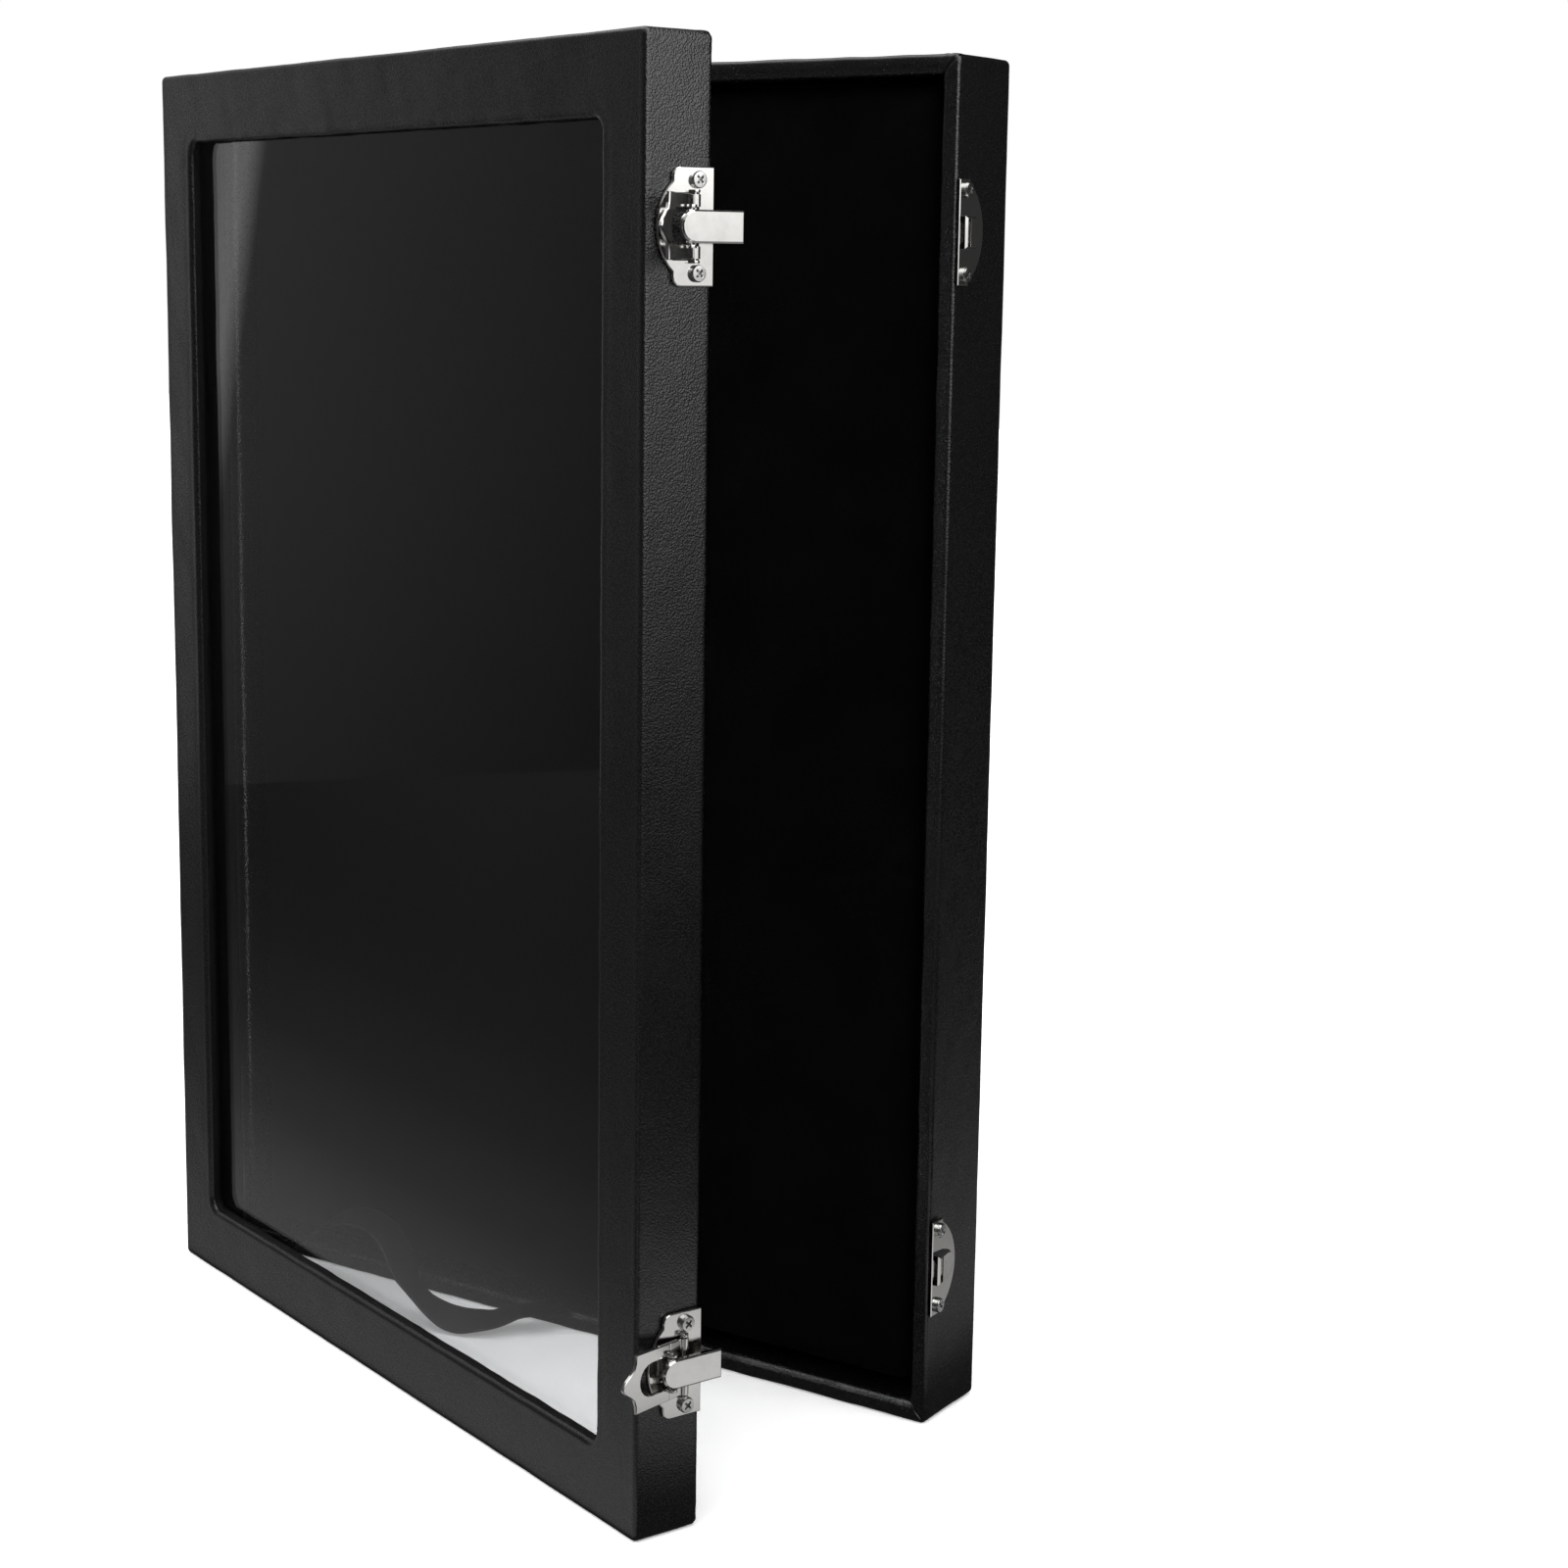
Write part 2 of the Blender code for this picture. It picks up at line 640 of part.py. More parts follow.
def latch_plate():
    """Lid plate with a window, and two ears that hold the lever's pin. Origin on the seam edge."""
    outline = plate_outline(PLATE_TAB_WIDTH, PLATE_HALF_LENGTH, PLATE_BULGE_HALF, PLATE_BULGE_DEPTH,
                            PLATE_CORNER_RADIUS, -1)
    outline = [(a - PLATE_INSET, b) for a, b in outline]
    shape = pressed_sheet(outline, PLATE_LOW, PLATE_TOP)
    far = -PLATE_WINDOW_START - PLATE_WINDOW_WIDTH
    window = block(PLATE_LOW - OVERRUN, PLATE_TOP + OVERRUN, far, -PLATE_WINDOW_START,
                   -PLATE_WINDOW_HALF, PLATE_WINDOW_HALF)
    shape = cut(shape, window)
    pin_y = -LEVER_PIN_FROM_SEAM
    ear = [(PLATE_LOW, pin_y + EAR_RADIUS), (PLATE_LOW, pin_y - EAR_RADIUS)]
    ear += arc((LEVER_PIN_RISE, pin_y), EAR_RADIUS, -90.0, 90.0, 2 * ARC_STEPS)
    for sign in (-1, 1):
        ends = sorted((sign * PLATE_WINDOW_HALF, sign * (PLATE_WINDOW_HALF + EAR_THICK)))
        shape = join(shape, prism(ear, "z", ends[0], ends[1]))
    bore_half = PLATE_WINDOW_HALF + EAR_THICK + FIT_GAP
    bore = prism(circle((LEVER_PIN_RISE, pin_y), LEVER_BORE_RADIUS), "z", -bore_half, bore_half)
    shape = cut(shape, bore)
    half = LATCH_SCREW_SPACING / 2
    holes = []
    for z in (-half, half):
        centre = (-LATCH_SCREW_FROM_SEAM, z)
        hole = circle(centre, SCREW_SHANK_RADIUS + FIT_GAP, SCREW_SEGMENTS)
        holes.append(prism(hole, "x", PLATE_LOW - OVERRUN, PLATE_TOP + OVERRUN))
    return cut(shape, merge(holes))


def lever_outline():
    """Finger lever in (y, z) from its pin: two side strips, a D shaped slot and an ogee tip."""
    root = (LEVER_ROOT_HALF, LEVER_SHOULDER_HALF, LEVER_SHOULDER_REACH)
    tip_length = LEVER_TIP_REACH - LEVER_SHOULDER_REACH
    upper = [(0.0, root[0]), (-root[2], root[1])]
    for along_share, width_share in LEVER_OGEE_SHARES:
        upper.append((-root[2] - tip_length * along_share, root[1] * width_share))
    upper.append((-LEVER_TIP_REACH, 0.0))
    lower = [(a, -b) for a, b in reversed(upper[:-1])]
    slot_centre = (LEVER_SLOT_HALF - LEVER_SLOT_REACH, 0.0)
    slot = [(0.0, -LEVER_SLOT_HALF)]
    slot += arc(slot_centre, LEVER_SLOT_HALF, 270.0, 90.0, 3 * ARC_STEPS)
    slot += [(0.0, LEVER_SLOT_HALF)]
    return upper + lower + slot


def lever():
    """Finger lever around its pin axis, lying flat on the plate."""
    half_sheet = SHEET_THICK / 2
    shape = pressed_sheet(lever_outline(), -half_sheet, half_sheet)
    low = LEVER_SLOT_HALF + LEVER_KNUCKLE_INSET
    hook_pin = (HOOK_PIN_RISE, -HOOK_PIN_REACH)
    for sign in (-1, 1):
        ends = sorted((sign * low, sign * LEVER_ROOT_HALF))
        shape = join(shape, prism(circle((0.0, 0.0), LEVER_BARREL_RADIUS), "z", ends[0], ends[1]))
        ends = sorted((sign * LEVER_SLOT_HALF, sign * (LEVER_SLOT_HALF + HOOK_LUG_THICK)))
        shape = join(shape, prism(circle(hook_pin, HOOK_LUG_RADIUS), "z", ends[0], ends[1]))
    reach = LEVER_ROOT_HALF + OVERRUN
    shape = cut(shape, prism(circle((0.0, 0.0), LEVER_BORE_RADIUS), "z", -reach, reach))
    return cut(shape, prism(circle(hook_pin, HOOK_BORE_RADIUS), "z", -reach, reach))


def hook_outline(reduce):
    """Hook seen from outside, in (y, z) from its pin: a round end and a square end."""
    end = HOOK_END_PAST_SEAM + LEVER_PIN_FROM_SEAM + HOOK_PIN_REACH - reduce
    half = HOOK_HALF_WIDTH - reduce
    return arc((0.0, 0.0), half, 90.0, 270.0, 3 * ARC_STEPS) + [(end, -half), (end, half)]


def hook():
    """Channel shaped hook around its pin axis, with a lip that drops behind the keeper's bar."""
    top = HOOK_WEB_ABOVE_PIN + HOOK_SHEET_THICK
    rings = []
    for level, reduce in ((HOOK_WALL_ABOVE_PIN, 0.0), (top - HOOK_TOP_BEVEL, 0.0), (top, HOOK_TOP_BEVEL)):
        rings.append([(level, a, b) for a, b in hook_outline(reduce)])
    shape = lofted(rings, closed=False)
    pocket = prism(hook_outline(HOOK_SHEET_THICK), "x", HOOK_WALL_ABOVE_PIN - OVERRUN, HOOK_WEB_ABOVE_PIN)
    shape = cut(shape, pocket)
    middle = (HOOK_WALL_ABOVE_PIN + HOOK_WEB_ABOVE_PIN) / 2
    ear = [(middle, HOOK_EAR_RADIUS)] + arc((0.0, 0.0), HOOK_EAR_RADIUS, 90.0, 270.0, 2 * ARC_STEPS)
    ear += [(middle, -HOOK_EAR_RADIUS)]
    inner = HOOK_HALF_WIDTH - HOOK_SHEET_THICK
    for sign in (-1, 1):
        ends = sorted((sign * inner, sign * HOOK_HALF_WIDTH))
        shape = join(shape, prism(ear, "z", ends[0], ends[1]))
    end = HOOK_END_PAST_SEAM + LEVER_PIN_FROM_SEAM + HOOK_PIN_REACH
    lip = block(-HOOK_LIP_BELOW_PIN, middle, end - HOOK_SHEET_THICK, end, -HOOK_LIP_HALF, HOOK_LIP_HALF)
    shape = join(shape, lip)
    reach = HOOK_HALF_WIDTH + OVERRUN
    return cut(shape, prism(circle((0.0, 0.0), HOOK_BORE_RADIUS), "z", -reach, reach))


def keeper():
    """Keeper plate with a raised hood: a front bar, a slot for the hook's lip and a round tail."""
    outline = plate_outline(KEEPER_TAB_WIDTH, KEEPER_HALF_LENGTH, KEEPER_HALF_LENGTH - KEEPER_CORNER_RADIUS,
                            KEEPER_BULGE_DEPTH, 0.0, 1)
    outline = [(a + KEEPER_INSET, b) for a, b in outline]
    shape = pressed_sheet(outline, PLATE_LOW, PLATE_TOP)
    round_centre = HOOD_START + HOOD_LENGTH - HOOD_HALF_WIDTH
    middle = (PLATE_LOW + PLATE_TOP) / 2
    rings = []
    for drop, reduce in ((None, 0.0), (HOOD_BEVEL, 0.0), (0.0, HOOD_BEVEL)):
        half = HOOD_HALF_WIDTH - reduce
        start = HOOD_START + reduce
        ring = arc((round_centre, 0.0), half, -90.0, 90.0, 2 * ARC_STEPS)
        ring = [(start, -half)] + ring + [(start, half)]
        points = []
        for a, b in ring:
            slope = HOOD_TAIL_DROP * (a - HOOD_START) / HOOD_LENGTH
            level = middle if drop is None else HOOD_RISE - drop - slope
            points.append((level, a, b))
        rings.append(points)
    shape = join(shape, lofted(rings, closed=False))
    bar_end = HOOD_START + HOOD_BAR_WIDTH
    slot = block(PLATE_LOW - OVERRUN, HOOD_RISE + OVERRUN, bar_end, bar_end + HOOD_SLOT_WIDTH,
                 -HOOD_SLOT_HALF, HOOD_SLOT_HALF)
    shape = cut(shape, slot)
    mouth_radius = HOOD_MOUTH_HALF / 2
    mouth = arc((HOOD_MOUTH_RISE - mouth_radius, 0.0), mouth_radius, -90.0, 90.0, 2 * ARC_STEPS)
    mouth = [(a, 2 * b) for a, b in mouth]
    mouth = [(PLATE_TOP, -HOOD_MOUTH_HALF)] + mouth + [(PLATE_TOP, HOOD_MOUTH_HALF)]
    ends = [[(a, y, b) for a, b in mouth] for y in (HOOD_START - OVERRUN, bar_end + HOOD_SLOT_WIDTH / 2)]
    shape = cut(shape, lofted(ends, closed=False))
    half = LATCH_SCREW_SPACING / 2
    holes = []
    for z in (-half, half):
        hole = circle((KEEPER_SCREW_FROM_RIM, z), SCREW_SHANK_RADIUS + FIT_GAP, SCREW_SEGMENTS)
        holes.append(prism(hole, "x", PLATE_LOW - OVERRUN, PLATE_TOP + OVERRUN))
    return cut(shape, merge(holes))


def pin(radius, half_length):
    return prism(circle((0.0, 0.0), radius), "z", -half_length, half_length)


def hinge_leaf(direction, middle_knuckle):
    """Leaf with a curled knuckle, around the hinge axis; direction is the side of the seam it lies on."""
    inner = KNUCKLE_RADIUS - HINGE_SHEET_THICK
    outline = [(KNUCKLE_RADIUS, HINGE_LEAF_WIDTH)]
    outline += arc((0.0, 0.0), KNUCKLE_RADIUS, 0.0, -KNUCKLE_CURL, 4 * ARC_STEPS)
    outline += arc((0.0, 0.0), inner, -KNUCKLE_CURL, 0.0, 4 * ARC_STEPS)
    outline += [(inner, HINGE_LEAF_WIDTH)]
    outline = [(a, direction * b) for a, b in outline]
    half = HINGE_LENGTH / 2
    shape = prism(outline, "z", -half, half)
    middle = MIDDLE_KNUCKLE / 2
    wide = KNUCKLE_RADIUS + OVERRUN
    play = KNUCKLE_END_GAP / 2
    if middle_knuckle:
        spans = [(middle - play, half + OVERRUN), (-half - OVERRUN, play - middle)]
    else:
        spans = [(-middle - play, middle + play)]
    for low, high in spans:
        shape = cut(shape, block(-wide, wide, -HINGE_LEAF_CLEARANCE, HINGE_LEAF_CLEARANCE, low, high))
    reach = HINGE_SCREW_SPACING / 2
    holes = []
    for z in (-reach, reach):
        centre = (direction * HINGE_SCREW_FROM_AXIS, z)
        hole = circle(centre, SCREW_SHANK_RADIUS + FIT_GAP, SCREW_SEGMENTS)
        holes.append(prism(hole, "x", inner - OVERRUN, KNUCKLE_RADIUS + OVERRUN))
    return cut(shape, merge(holes))


def hinge_pin():
    """Pin with a small head at its upper end."""
    half = HINGE_LENGTH / 2 + FIT_GAP
    head = prism(circle((0.0, 0.0), HINGE_PIN_HEAD_RADIUS), "z", half, half + HINGE_PIN_HEAD_HEIGHT)
    low = -half
    high = half + HINGE_PIN_HEAD_HEIGHT / 2
    return join(head, prism(circle((0.0, 0.0), HINGE_PIN_RADIUS), "z", low, high))


# Route of the ribbon's middle line as shares: X of the case's width from its middle, Y of the ribbon's
# sway from the rim and Z of its width. The last column leans the ribbon's width from level, 0, to
# upright, 1.
RIBBON_ROUTE_SHARES = (
    (0.0062, 0.055, 0.555, 0.00),
    (-0.0058, -0.187, 0.620, 0.00),
    (-0.0252, -0.368, 0.560, 0.00),
    (-0.0405, -0.538, 0.430, 0.08),
    (-0.0550, -0.643, 0.380, 0.18),
    (-0.0736, -0.708, 0.320, 0.26),
    (-0.0934, -0.730, 0.360, 0.20),
    (-0.1140, -0.745, 0.540, 0.02),
    (-0.1355, -0.745, 0.800, -0.16),
    (-0.1545, -0.723, 1.120, -0.20),
    (-0.1702, -0.677, 1.570, -0.12),
    (-0.1880, -0.632, 2.040, 0.00),
    (-0.2149, -0.602, 2.400, 0.10),
    (-0.2521, -0.594, 2.460, 0.16),
    (-0.2872, -0.609, 2.140, 0.16),
    (-0.3161, -0.632, 1.600, 0.10),
    (-0.3450, -0.617, 1.080, 0.04),
    (-0.3760, -0.564, 0.740, 0.00),
    (-0.4070, -0.489, 0.555, 0.00),
    (-0.4360, -0.398, 0.555, 0.00),
)
RIBBON_SAMPLES = 4


def ribbon_rows():
    """Middle points and leans along a smooth curve through the ribbon's route."""
    knots = []
    for x_share, y_share, z_share, lean_share in RIBBON_ROUTE_SHARES:
        middle = (CASE_WIDTH * x_share, RIM_Y + RIBBON_SWAY * y_share, RIBBON_WIDTH * z_share)
        knots.append(Vector(middle + (lean_share * math.pi / 2,)))
    padded = [2 * knots[0] - knots[1]] + knots + [2 * knots[-1] - knots[-2]]
    rows = []
    for a, b, c, d in zip(padded, padded[1:], padded[2:], padded[3:]):
        for step in range(RIBBON_SAMPLES):
            t = step / RIBBON_SAMPLES
            curve = 2 * b + (c - a) * t + (2 * a - 5 * b + 4 * c - d) * t ** 2
            rows.append((curve + (3 * b - a - 3 * c + d) * t ** 3) / 2)
    rows.append(knots[-1])
    return rows


def stay_ribbon():
    """Flat ribbon from the base's lower rim to the lid's lower rail, slack while the lid is half shut."""
    rows = ribbon_rows()
    upright = Vector((0.0, 0.0, 1.0))
    rings = []
    for index, row in enumerate(rows):
        middle = Vector(row[:3])
        before = Vector(rows[max(index - 1, 0)][:3])
        after = Vector(rows[min(index + 1, len(rows) - 1)][:3])
        along = (after - before).normalized()
        level = along.cross(upright).normalized()
        wide = level * math.cos(row[3]) + upright * math.sin(row[3])
        wide = (wide - along * wide.dot(along)).normalized() * (RIBBON_WIDTH / 2)
        thick = along.cross(wide).normalized() * (RIBBON_THICK / 2)
        corners = (-wide - thick, wide - thick, wide + thick, thick - wide)
        rings.append([middle + corner for corner in corners])
    return lofted(rings, closed=False)


def build_base(root):
    """The tray, its pad and its fittings."""
    wall_low = RIM_Y + SKIN
    wall_high = BACK_BOARD_FRONT_Y - FIT_GAP
    add_piece("base_cover", base_cover(), "leatherette", root)
    for side in ("top", "bottom", "left", "right"):
        cutters = None
        if side == "left":
            cutters = screw_cutters(("hinge_base",))
        if side == "right":
            cutters = screw_cutters(("keeper",))
        add_piece("base_wall_" + side, wall(side, wall_low, wall_high, cutters), "timber", root)
    add_piece("base_back_board", flat_panel(SKIN, BACK_BOARD_FRONT_Y, BACK_Y - SKIN), "board", root)
    sheet = flat_panel(BACK_TURNOVER + FIT_GAP, BACK_Y - COVER_THICK, BACK_Y)
    add_piece("base_back_sheet", sheet, "leatherette", root)
    card = flat_panel(RIM_WIDTH + PAD_SIDE_GAP, PAD_BOARD_FRONT_Y, PAD_BOARD_BACK_Y)
    add_piece("pad_board", card, "board", root)
    add_piece("pad_foam", pad_foam(), "foam", root)
    add_piece("velvet_pad", velvet_pad(), "velvet", root)
    for name, z in (("upper_keeper", UPPER_Z), ("lower_keeper", LOWER_Z)):
        add_piece(name, keeper(), "nickel", root, (HALF_WIDTH, RIM_Y, z))
    add_screws("keeper", root)
    add_piece("stay_ribbon", stay_ribbon(), "ribbon", root)


def build_lid(lid):
    """The window lid."""
    wall_low = BOARD_BACK_Y + FIT_GAP
    wall_high = LID_CLOSE_Y - SKIN
    add_piece("lid_cover", lid_cover(), "leatherette", lid)
    for side in ("top", "bottom", "left", "right"):
        cutters = None
        if side == "left":
            cutters = screw_cutters(("hinge_lid",))
        if side == "right":
            cutters = screw_cutters(("latch_plate",))
        add_piece("lid_wall_" + side, wall(side, wall_low, wall_high, cutters), "timber", lid)
    opening = WINDOW_END_BORDER - SKIN
    shift = WINDOW_END_BORDER - WINDOW_SIDE_BORDER
    board = frame_panel(SKIN, opening, LID_FRONT_Y + SKIN, BOARD_BACK_Y, shift, WINDOW_CORNER_RADIUS + SKIN)
    add_piece("lid_front_board", board, "board", lid)
    inset = RIM_WIDTH + FIT_GAP
    add_piece("window_pane", flat_panel(inset, PANE_FRONT_Y, PANE_BACK_Y), "clear", lid)
    low = PANE_BACK_Y + FIT_GAP
    high = low + RETAINER_DEPTH
    retainer = frame_panel(inset, inset + RETAINER_WIDTH, low, high, 0.0, INNER_CORNER_RADIUS)
    add_piece("pane_retainer", retainer, "timber", lid)
    for name, z in (("upper_latch_plate", UPPER_Z), ("lower_latch_plate", LOWER_Z)):
        add_piece(name, latch_plate(), "nickel", lid, (HALF_WIDTH, LID_CLOSE_Y, z))
    add_screws("latch_plate", lid)


def build_latch(prefix, z, swing, lid):
    """Lever and hook of one latch, each on its own axis; the hook stays level with the case's side."""
    lever_axis = (HALF_WIDTH + LEVER_PIN_RISE, LID_CLOSE_Y - LEVER_PIN_FROM_SEAM, z)
    hook_axis = (lever_axis[0] + HOOK_PIN_RISE, lever_axis[1] - HOOK_PIN_REACH, z)
    lever_carrier = Carrier(prefix + "_lever_axis", lever_axis, lid, swing)
    hook_carrier = Carrier(prefix + "_hook_axis", hook_axis, lever_carrier, -swing)
    add_piece(prefix + "_lever", lever(), "nickel", lever_carrier, lever_axis)
    lever_pin = pin(LEVER_PIN_RADIUS, PLATE_WINDOW_HALF + EAR_THICK)
    add_piece(prefix + "_lever_pin", lever_pin, "steel", lid, lever_axis)
    add_piece(prefix + "_hook", hook(), "nickel", hook_carrier, hook_axis)
    hook_pin = pin(HOOK_PIN_RADIUS, LEVER_SLOT_HALF + HOOK_LUG_THICK)
    add_piece(prefix + "_hook_pin", hook_pin, "steel", lever_carrier, hook_axis)


def build_hinges(root, lid):
    """Two butt hinges on the long side away from the latches."""
    for prefix, z in (("lower", HINGE_FROM_END), ("upper", CASE_HEIGHT - HINGE_FROM_END)):
        place = (AXIS_X, AXIS_Y, z)
        add_piece(prefix + "_hinge_base_leaf", hinge_leaf(1, False), "nickel", root, place)
        add_piece(prefix + "_hinge_lid_leaf", hinge_leaf(-1, True), "nickel", lid, place)
        add_piece(prefix + "_hinge_pin", hinge_pin(), "steel", root, place)
    add_screws("hinge_base", root)
    add_screws("hinge_lid", lid)


def main():
    clear_scene()
    root = Carrier("case_origin", (0.0, 0.0, 0.0))
    lid = Carrier("lid_axis", (AXIS_X, AXIS_Y, 0.0), root, -LID_OPENING)
    build_base(root)
    build_lid(lid)
    build_latch("upper", UPPER_Z, UPPER_LEVER_SWING, lid)
    build_latch("lower", LOWER_Z, LOWER_LEVER_SWING, lid)
    build_hinges(root, lid)
    bpy.context.view_layer.update()


main()
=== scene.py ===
"""Looks of the pin display case: leatherette, velvet, clear window and nickel plated latches."""

import json
import math

import bmesh
import bpy
import numpy as np
from mathutils import Matrix, Vector


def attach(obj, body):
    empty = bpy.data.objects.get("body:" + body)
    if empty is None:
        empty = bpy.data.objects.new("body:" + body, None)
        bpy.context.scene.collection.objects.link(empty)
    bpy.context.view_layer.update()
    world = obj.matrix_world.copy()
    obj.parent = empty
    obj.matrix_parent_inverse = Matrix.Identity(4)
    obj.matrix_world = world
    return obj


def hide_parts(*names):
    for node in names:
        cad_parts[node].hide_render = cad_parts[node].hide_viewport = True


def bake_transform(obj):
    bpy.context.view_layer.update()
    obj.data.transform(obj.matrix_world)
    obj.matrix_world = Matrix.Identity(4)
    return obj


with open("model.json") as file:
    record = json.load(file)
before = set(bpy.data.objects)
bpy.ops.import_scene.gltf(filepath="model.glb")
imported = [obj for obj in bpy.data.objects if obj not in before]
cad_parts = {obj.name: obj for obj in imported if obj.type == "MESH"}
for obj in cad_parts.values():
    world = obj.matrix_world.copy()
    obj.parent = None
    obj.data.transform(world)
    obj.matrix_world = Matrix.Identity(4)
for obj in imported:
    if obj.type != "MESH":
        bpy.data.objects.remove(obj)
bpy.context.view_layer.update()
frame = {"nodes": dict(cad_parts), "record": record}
nodes = frame["nodes"]

MM = 0.001
RIGHT_ANGLE = math.radians(90.0)

# Sizes of the case, as in the CAD, in metres
HALF_WIDTH = 0.121
HEIGHT = 0.350
HALF_HEIGHT = HEIGHT / 2
RIM_Y = -0.01325
BACK_Y = 0.01325
LID_CLOSE_Y = -0.01355
LID_FRONT_Y = -0.03205
FRONT_BOARD_THICK = 0.0036
BOARD_BACK_Y = LID_FRONT_Y + FRONT_BOARD_THICK
RIM_WIDTH = 0.0050
COVER_THICK = 0.0007
BACK_TURNOVER = 0.0090
BACK_BOARD_FRONT_Y = 0.00965
FIT_GAP = 0.0003
WINDOW_END = 0.0188
WINDOW_SIDE = 0.0173
WINDOW_RADIUS = 0.0035
HINGE = Vector((-0.1231, -0.0134, 0.0))
LID_TURN = math.radians(-20.0)

lid_place = (
    Matrix.Translation(HINGE)
    @ Matrix.Rotation(LID_TURN, 4, "Z")
    @ Matrix.Translation(-HINGE)
)


# Small helpers

def new_object(name, vertices, faces, material, smooth=True):
    mesh = bpy.data.meshes.new(name)
    mesh.from_pydata([tuple(v) for v in vertices], [], faces)
    mesh.validate()
    mesh.materials.append(material)
    mesh.polygons.foreach_set("use_smooth", [smooth] * len(mesh.polygons))
    piece = bpy.data.objects.new(name, mesh)
    bpy.context.scene.collection.objects.link(piece)
    return piece


def face_outwards(piece, merge_distance=0.0):
    """Turns a closed mesh's faces outwards, after joining the points that lie together."""
    shape = bmesh.new()
    shape.from_mesh(piece.data)
    if merge_distance:
        bmesh.ops.remove_doubles(shape, verts=shape.verts, dist=merge_distance)
    bmesh.ops.recalc_face_normals(shape, faces=shape.faces)
    shape.to_mesh(piece.data)
    shape.free()


def tube_faces(spans, count):
    """The faces between rings of count points that follow each other."""
    faces = []
    for i in range(spans):
        for j in range(count):
            k = (j + 1) % count
            faces.append((i * count + j, i * count + k, (i + 1) * count + k, (i + 1) * count + j))
    return faces


def apply_modifiers(piece):
    graph = bpy.context.evaluated_depsgraph_get()
    mesh = bpy.data.meshes.new_from_object(piece.evaluated_get(graph))
    old = piece.data
    piece.modifiers.clear()
    piece.data = mesh
    bpy.data.meshes.remove(old)


def unit(vector):
    return vector / np.linalg.norm(vector)


def smooth_step(value, low, high):
    t = np.clip((value - low) / (high - low), 0.0, 1.0)
    return t * t * (3 - 2 * t)


def bell(distance, width):
    """1 at no distance, falling smoothly to almost nothing at twice the width."""
    return np.exp(-(distance / width) ** 2)


WAVE_GAIN = 1.4


def ripples(count, low, high, seed):
    """A smooth random field over 3-D points: a sum of waves between two wavelengths."""
    draw = np.random.default_rng(seed)
    direction = draw.normal(size=(count, 3))
    direction /= np.linalg.norm(direction, axis=1)[:, None]
    length = low * (high / low) ** draw.random(count)
    phase = draw.random(count) * 2 * math.pi
    waves = direction * (2 * math.pi / length)[:, None]

    def field(points):
        return np.sin(points @ waves.T + phase).sum(axis=-1) * (WAVE_GAIN / math.sqrt(count))

    return field


slow = ripples(count=16, low=22 * MM, high=90 * MM, seed=11)
middling = ripples(count=18, low=6 * MM, high=18 * MM, seed=12)
quick_waves = ripples(count=20, low=1.6 * MM, high=4.5 * MM, seed=13)


# Materials

class Nodes:
    """Builds the nodes of a material or a world."""

    def __init__(self, owner):
        owner.use_nodes = True
        self.tree = owner.node_tree
        self.tree.nodes.clear()

    def node(self, kind, sockets=None, **settings):
        made = self.tree.nodes.new(kind)
        for key, value in settings.items():
            setattr(made, key, value)
        for key, value in (sockets or {}).items():
            socket = made.inputs[key]
            if isinstance(value, bpy.types.NodeSocket):
                self.tree.links.new(value, socket)
            else:
                socket.default_value = value
        return made

    def maths(self, operation, *values, **settings):
        made = self.node("ShaderNodeMath", dict(enumerate(values)), operation=operation, **settings)
        return made.outputs[0]

    def weighted(self, first, first_share, second, second_share):
        return self.maths("ADD", self.maths("MULTIPLY", first, first_share),
                          self.maths("MULTIPLY", second, second_share))

    def scaled(self, vector, scale):
        made = self.node("ShaderNodeVectorMath", {0: vector, "Scale": scale}, operation="SCALE")
        return made.outputs[0]

    def span(self, value, source, target):
        """Maps the source range, (low, high), to the target range."""
        made = self.node("ShaderNodeMapRange", {
            "Value": value, "From Min": source[0], "From Max": source[1],
            "To Min": target[0], "To Max": target[1]})
        return made.outputs["Result"]

    def ramp(self, value, *stops):
        made = self.node("ShaderNodeValToRGB", {"Fac": value})
        ramp = made.color_ramp
        while len(ramp.elements) < len(stops):
            ramp.elements.new(0.5)
        for element, (place, colour) in zip(ramp.elements, stops):
            element.position = place
            element.color = (*colour, 1.0)
        return made.outputs["Color"]


class Tree(Nodes):
    """Builds one material's nodes."""

    def __init__(self, name):
        self.material = bpy.data.materials.new(name)
        super().__init__(self.material)
        self.out = self.node("ShaderNodeOutputMaterial")
        self.coords = self.node("ShaderNodeTexCoord").outputs["Object"]

    def surface(self, made):
        self.tree.links.new(made.outputs[0], self.out.inputs["Surface"])

    def shader(self, **values):
        """The Principled shader, where _ stands for the space in a socket's name."""
        sockets = {key.replace("_", " "): value for key, value in values.items()}
        self.surface(self.node("ShaderNodeBsdfPrincipled", sockets))

    def axes(self, vector=None):
        return self.node("ShaderNodeSeparateXYZ", {0: vector or self.coords}).outputs

    def stretched(self, *scale):
        made = self.node("ShaderNodeMapping", {"Vector": self.coords, "Scale": scale})
        return made.outputs["Vector"]

    def noise(self, scale, detail=3.0, rough=0.5, vector=None):
        made = self.node("ShaderNodeTexNoise", {
            "Vector": vector or self.coords, "Scale": scale, "Detail": detail, "Roughness": rough})
        return made.outputs["Fac"]

    def cells(self, scale, vector=None):
        made = self.node("ShaderNodeTexVoronoi", {"Vector": vector or self.coords, "Scale": scale},
                         feature="F1")
        return made.outputs["Distance"]

    def bump(self, height, distance, strength):
        made = self.node("ShaderNodeBump", {"Height": height, "Distance": distance, "Strength": strength})
        return made.outputs["Normal"]


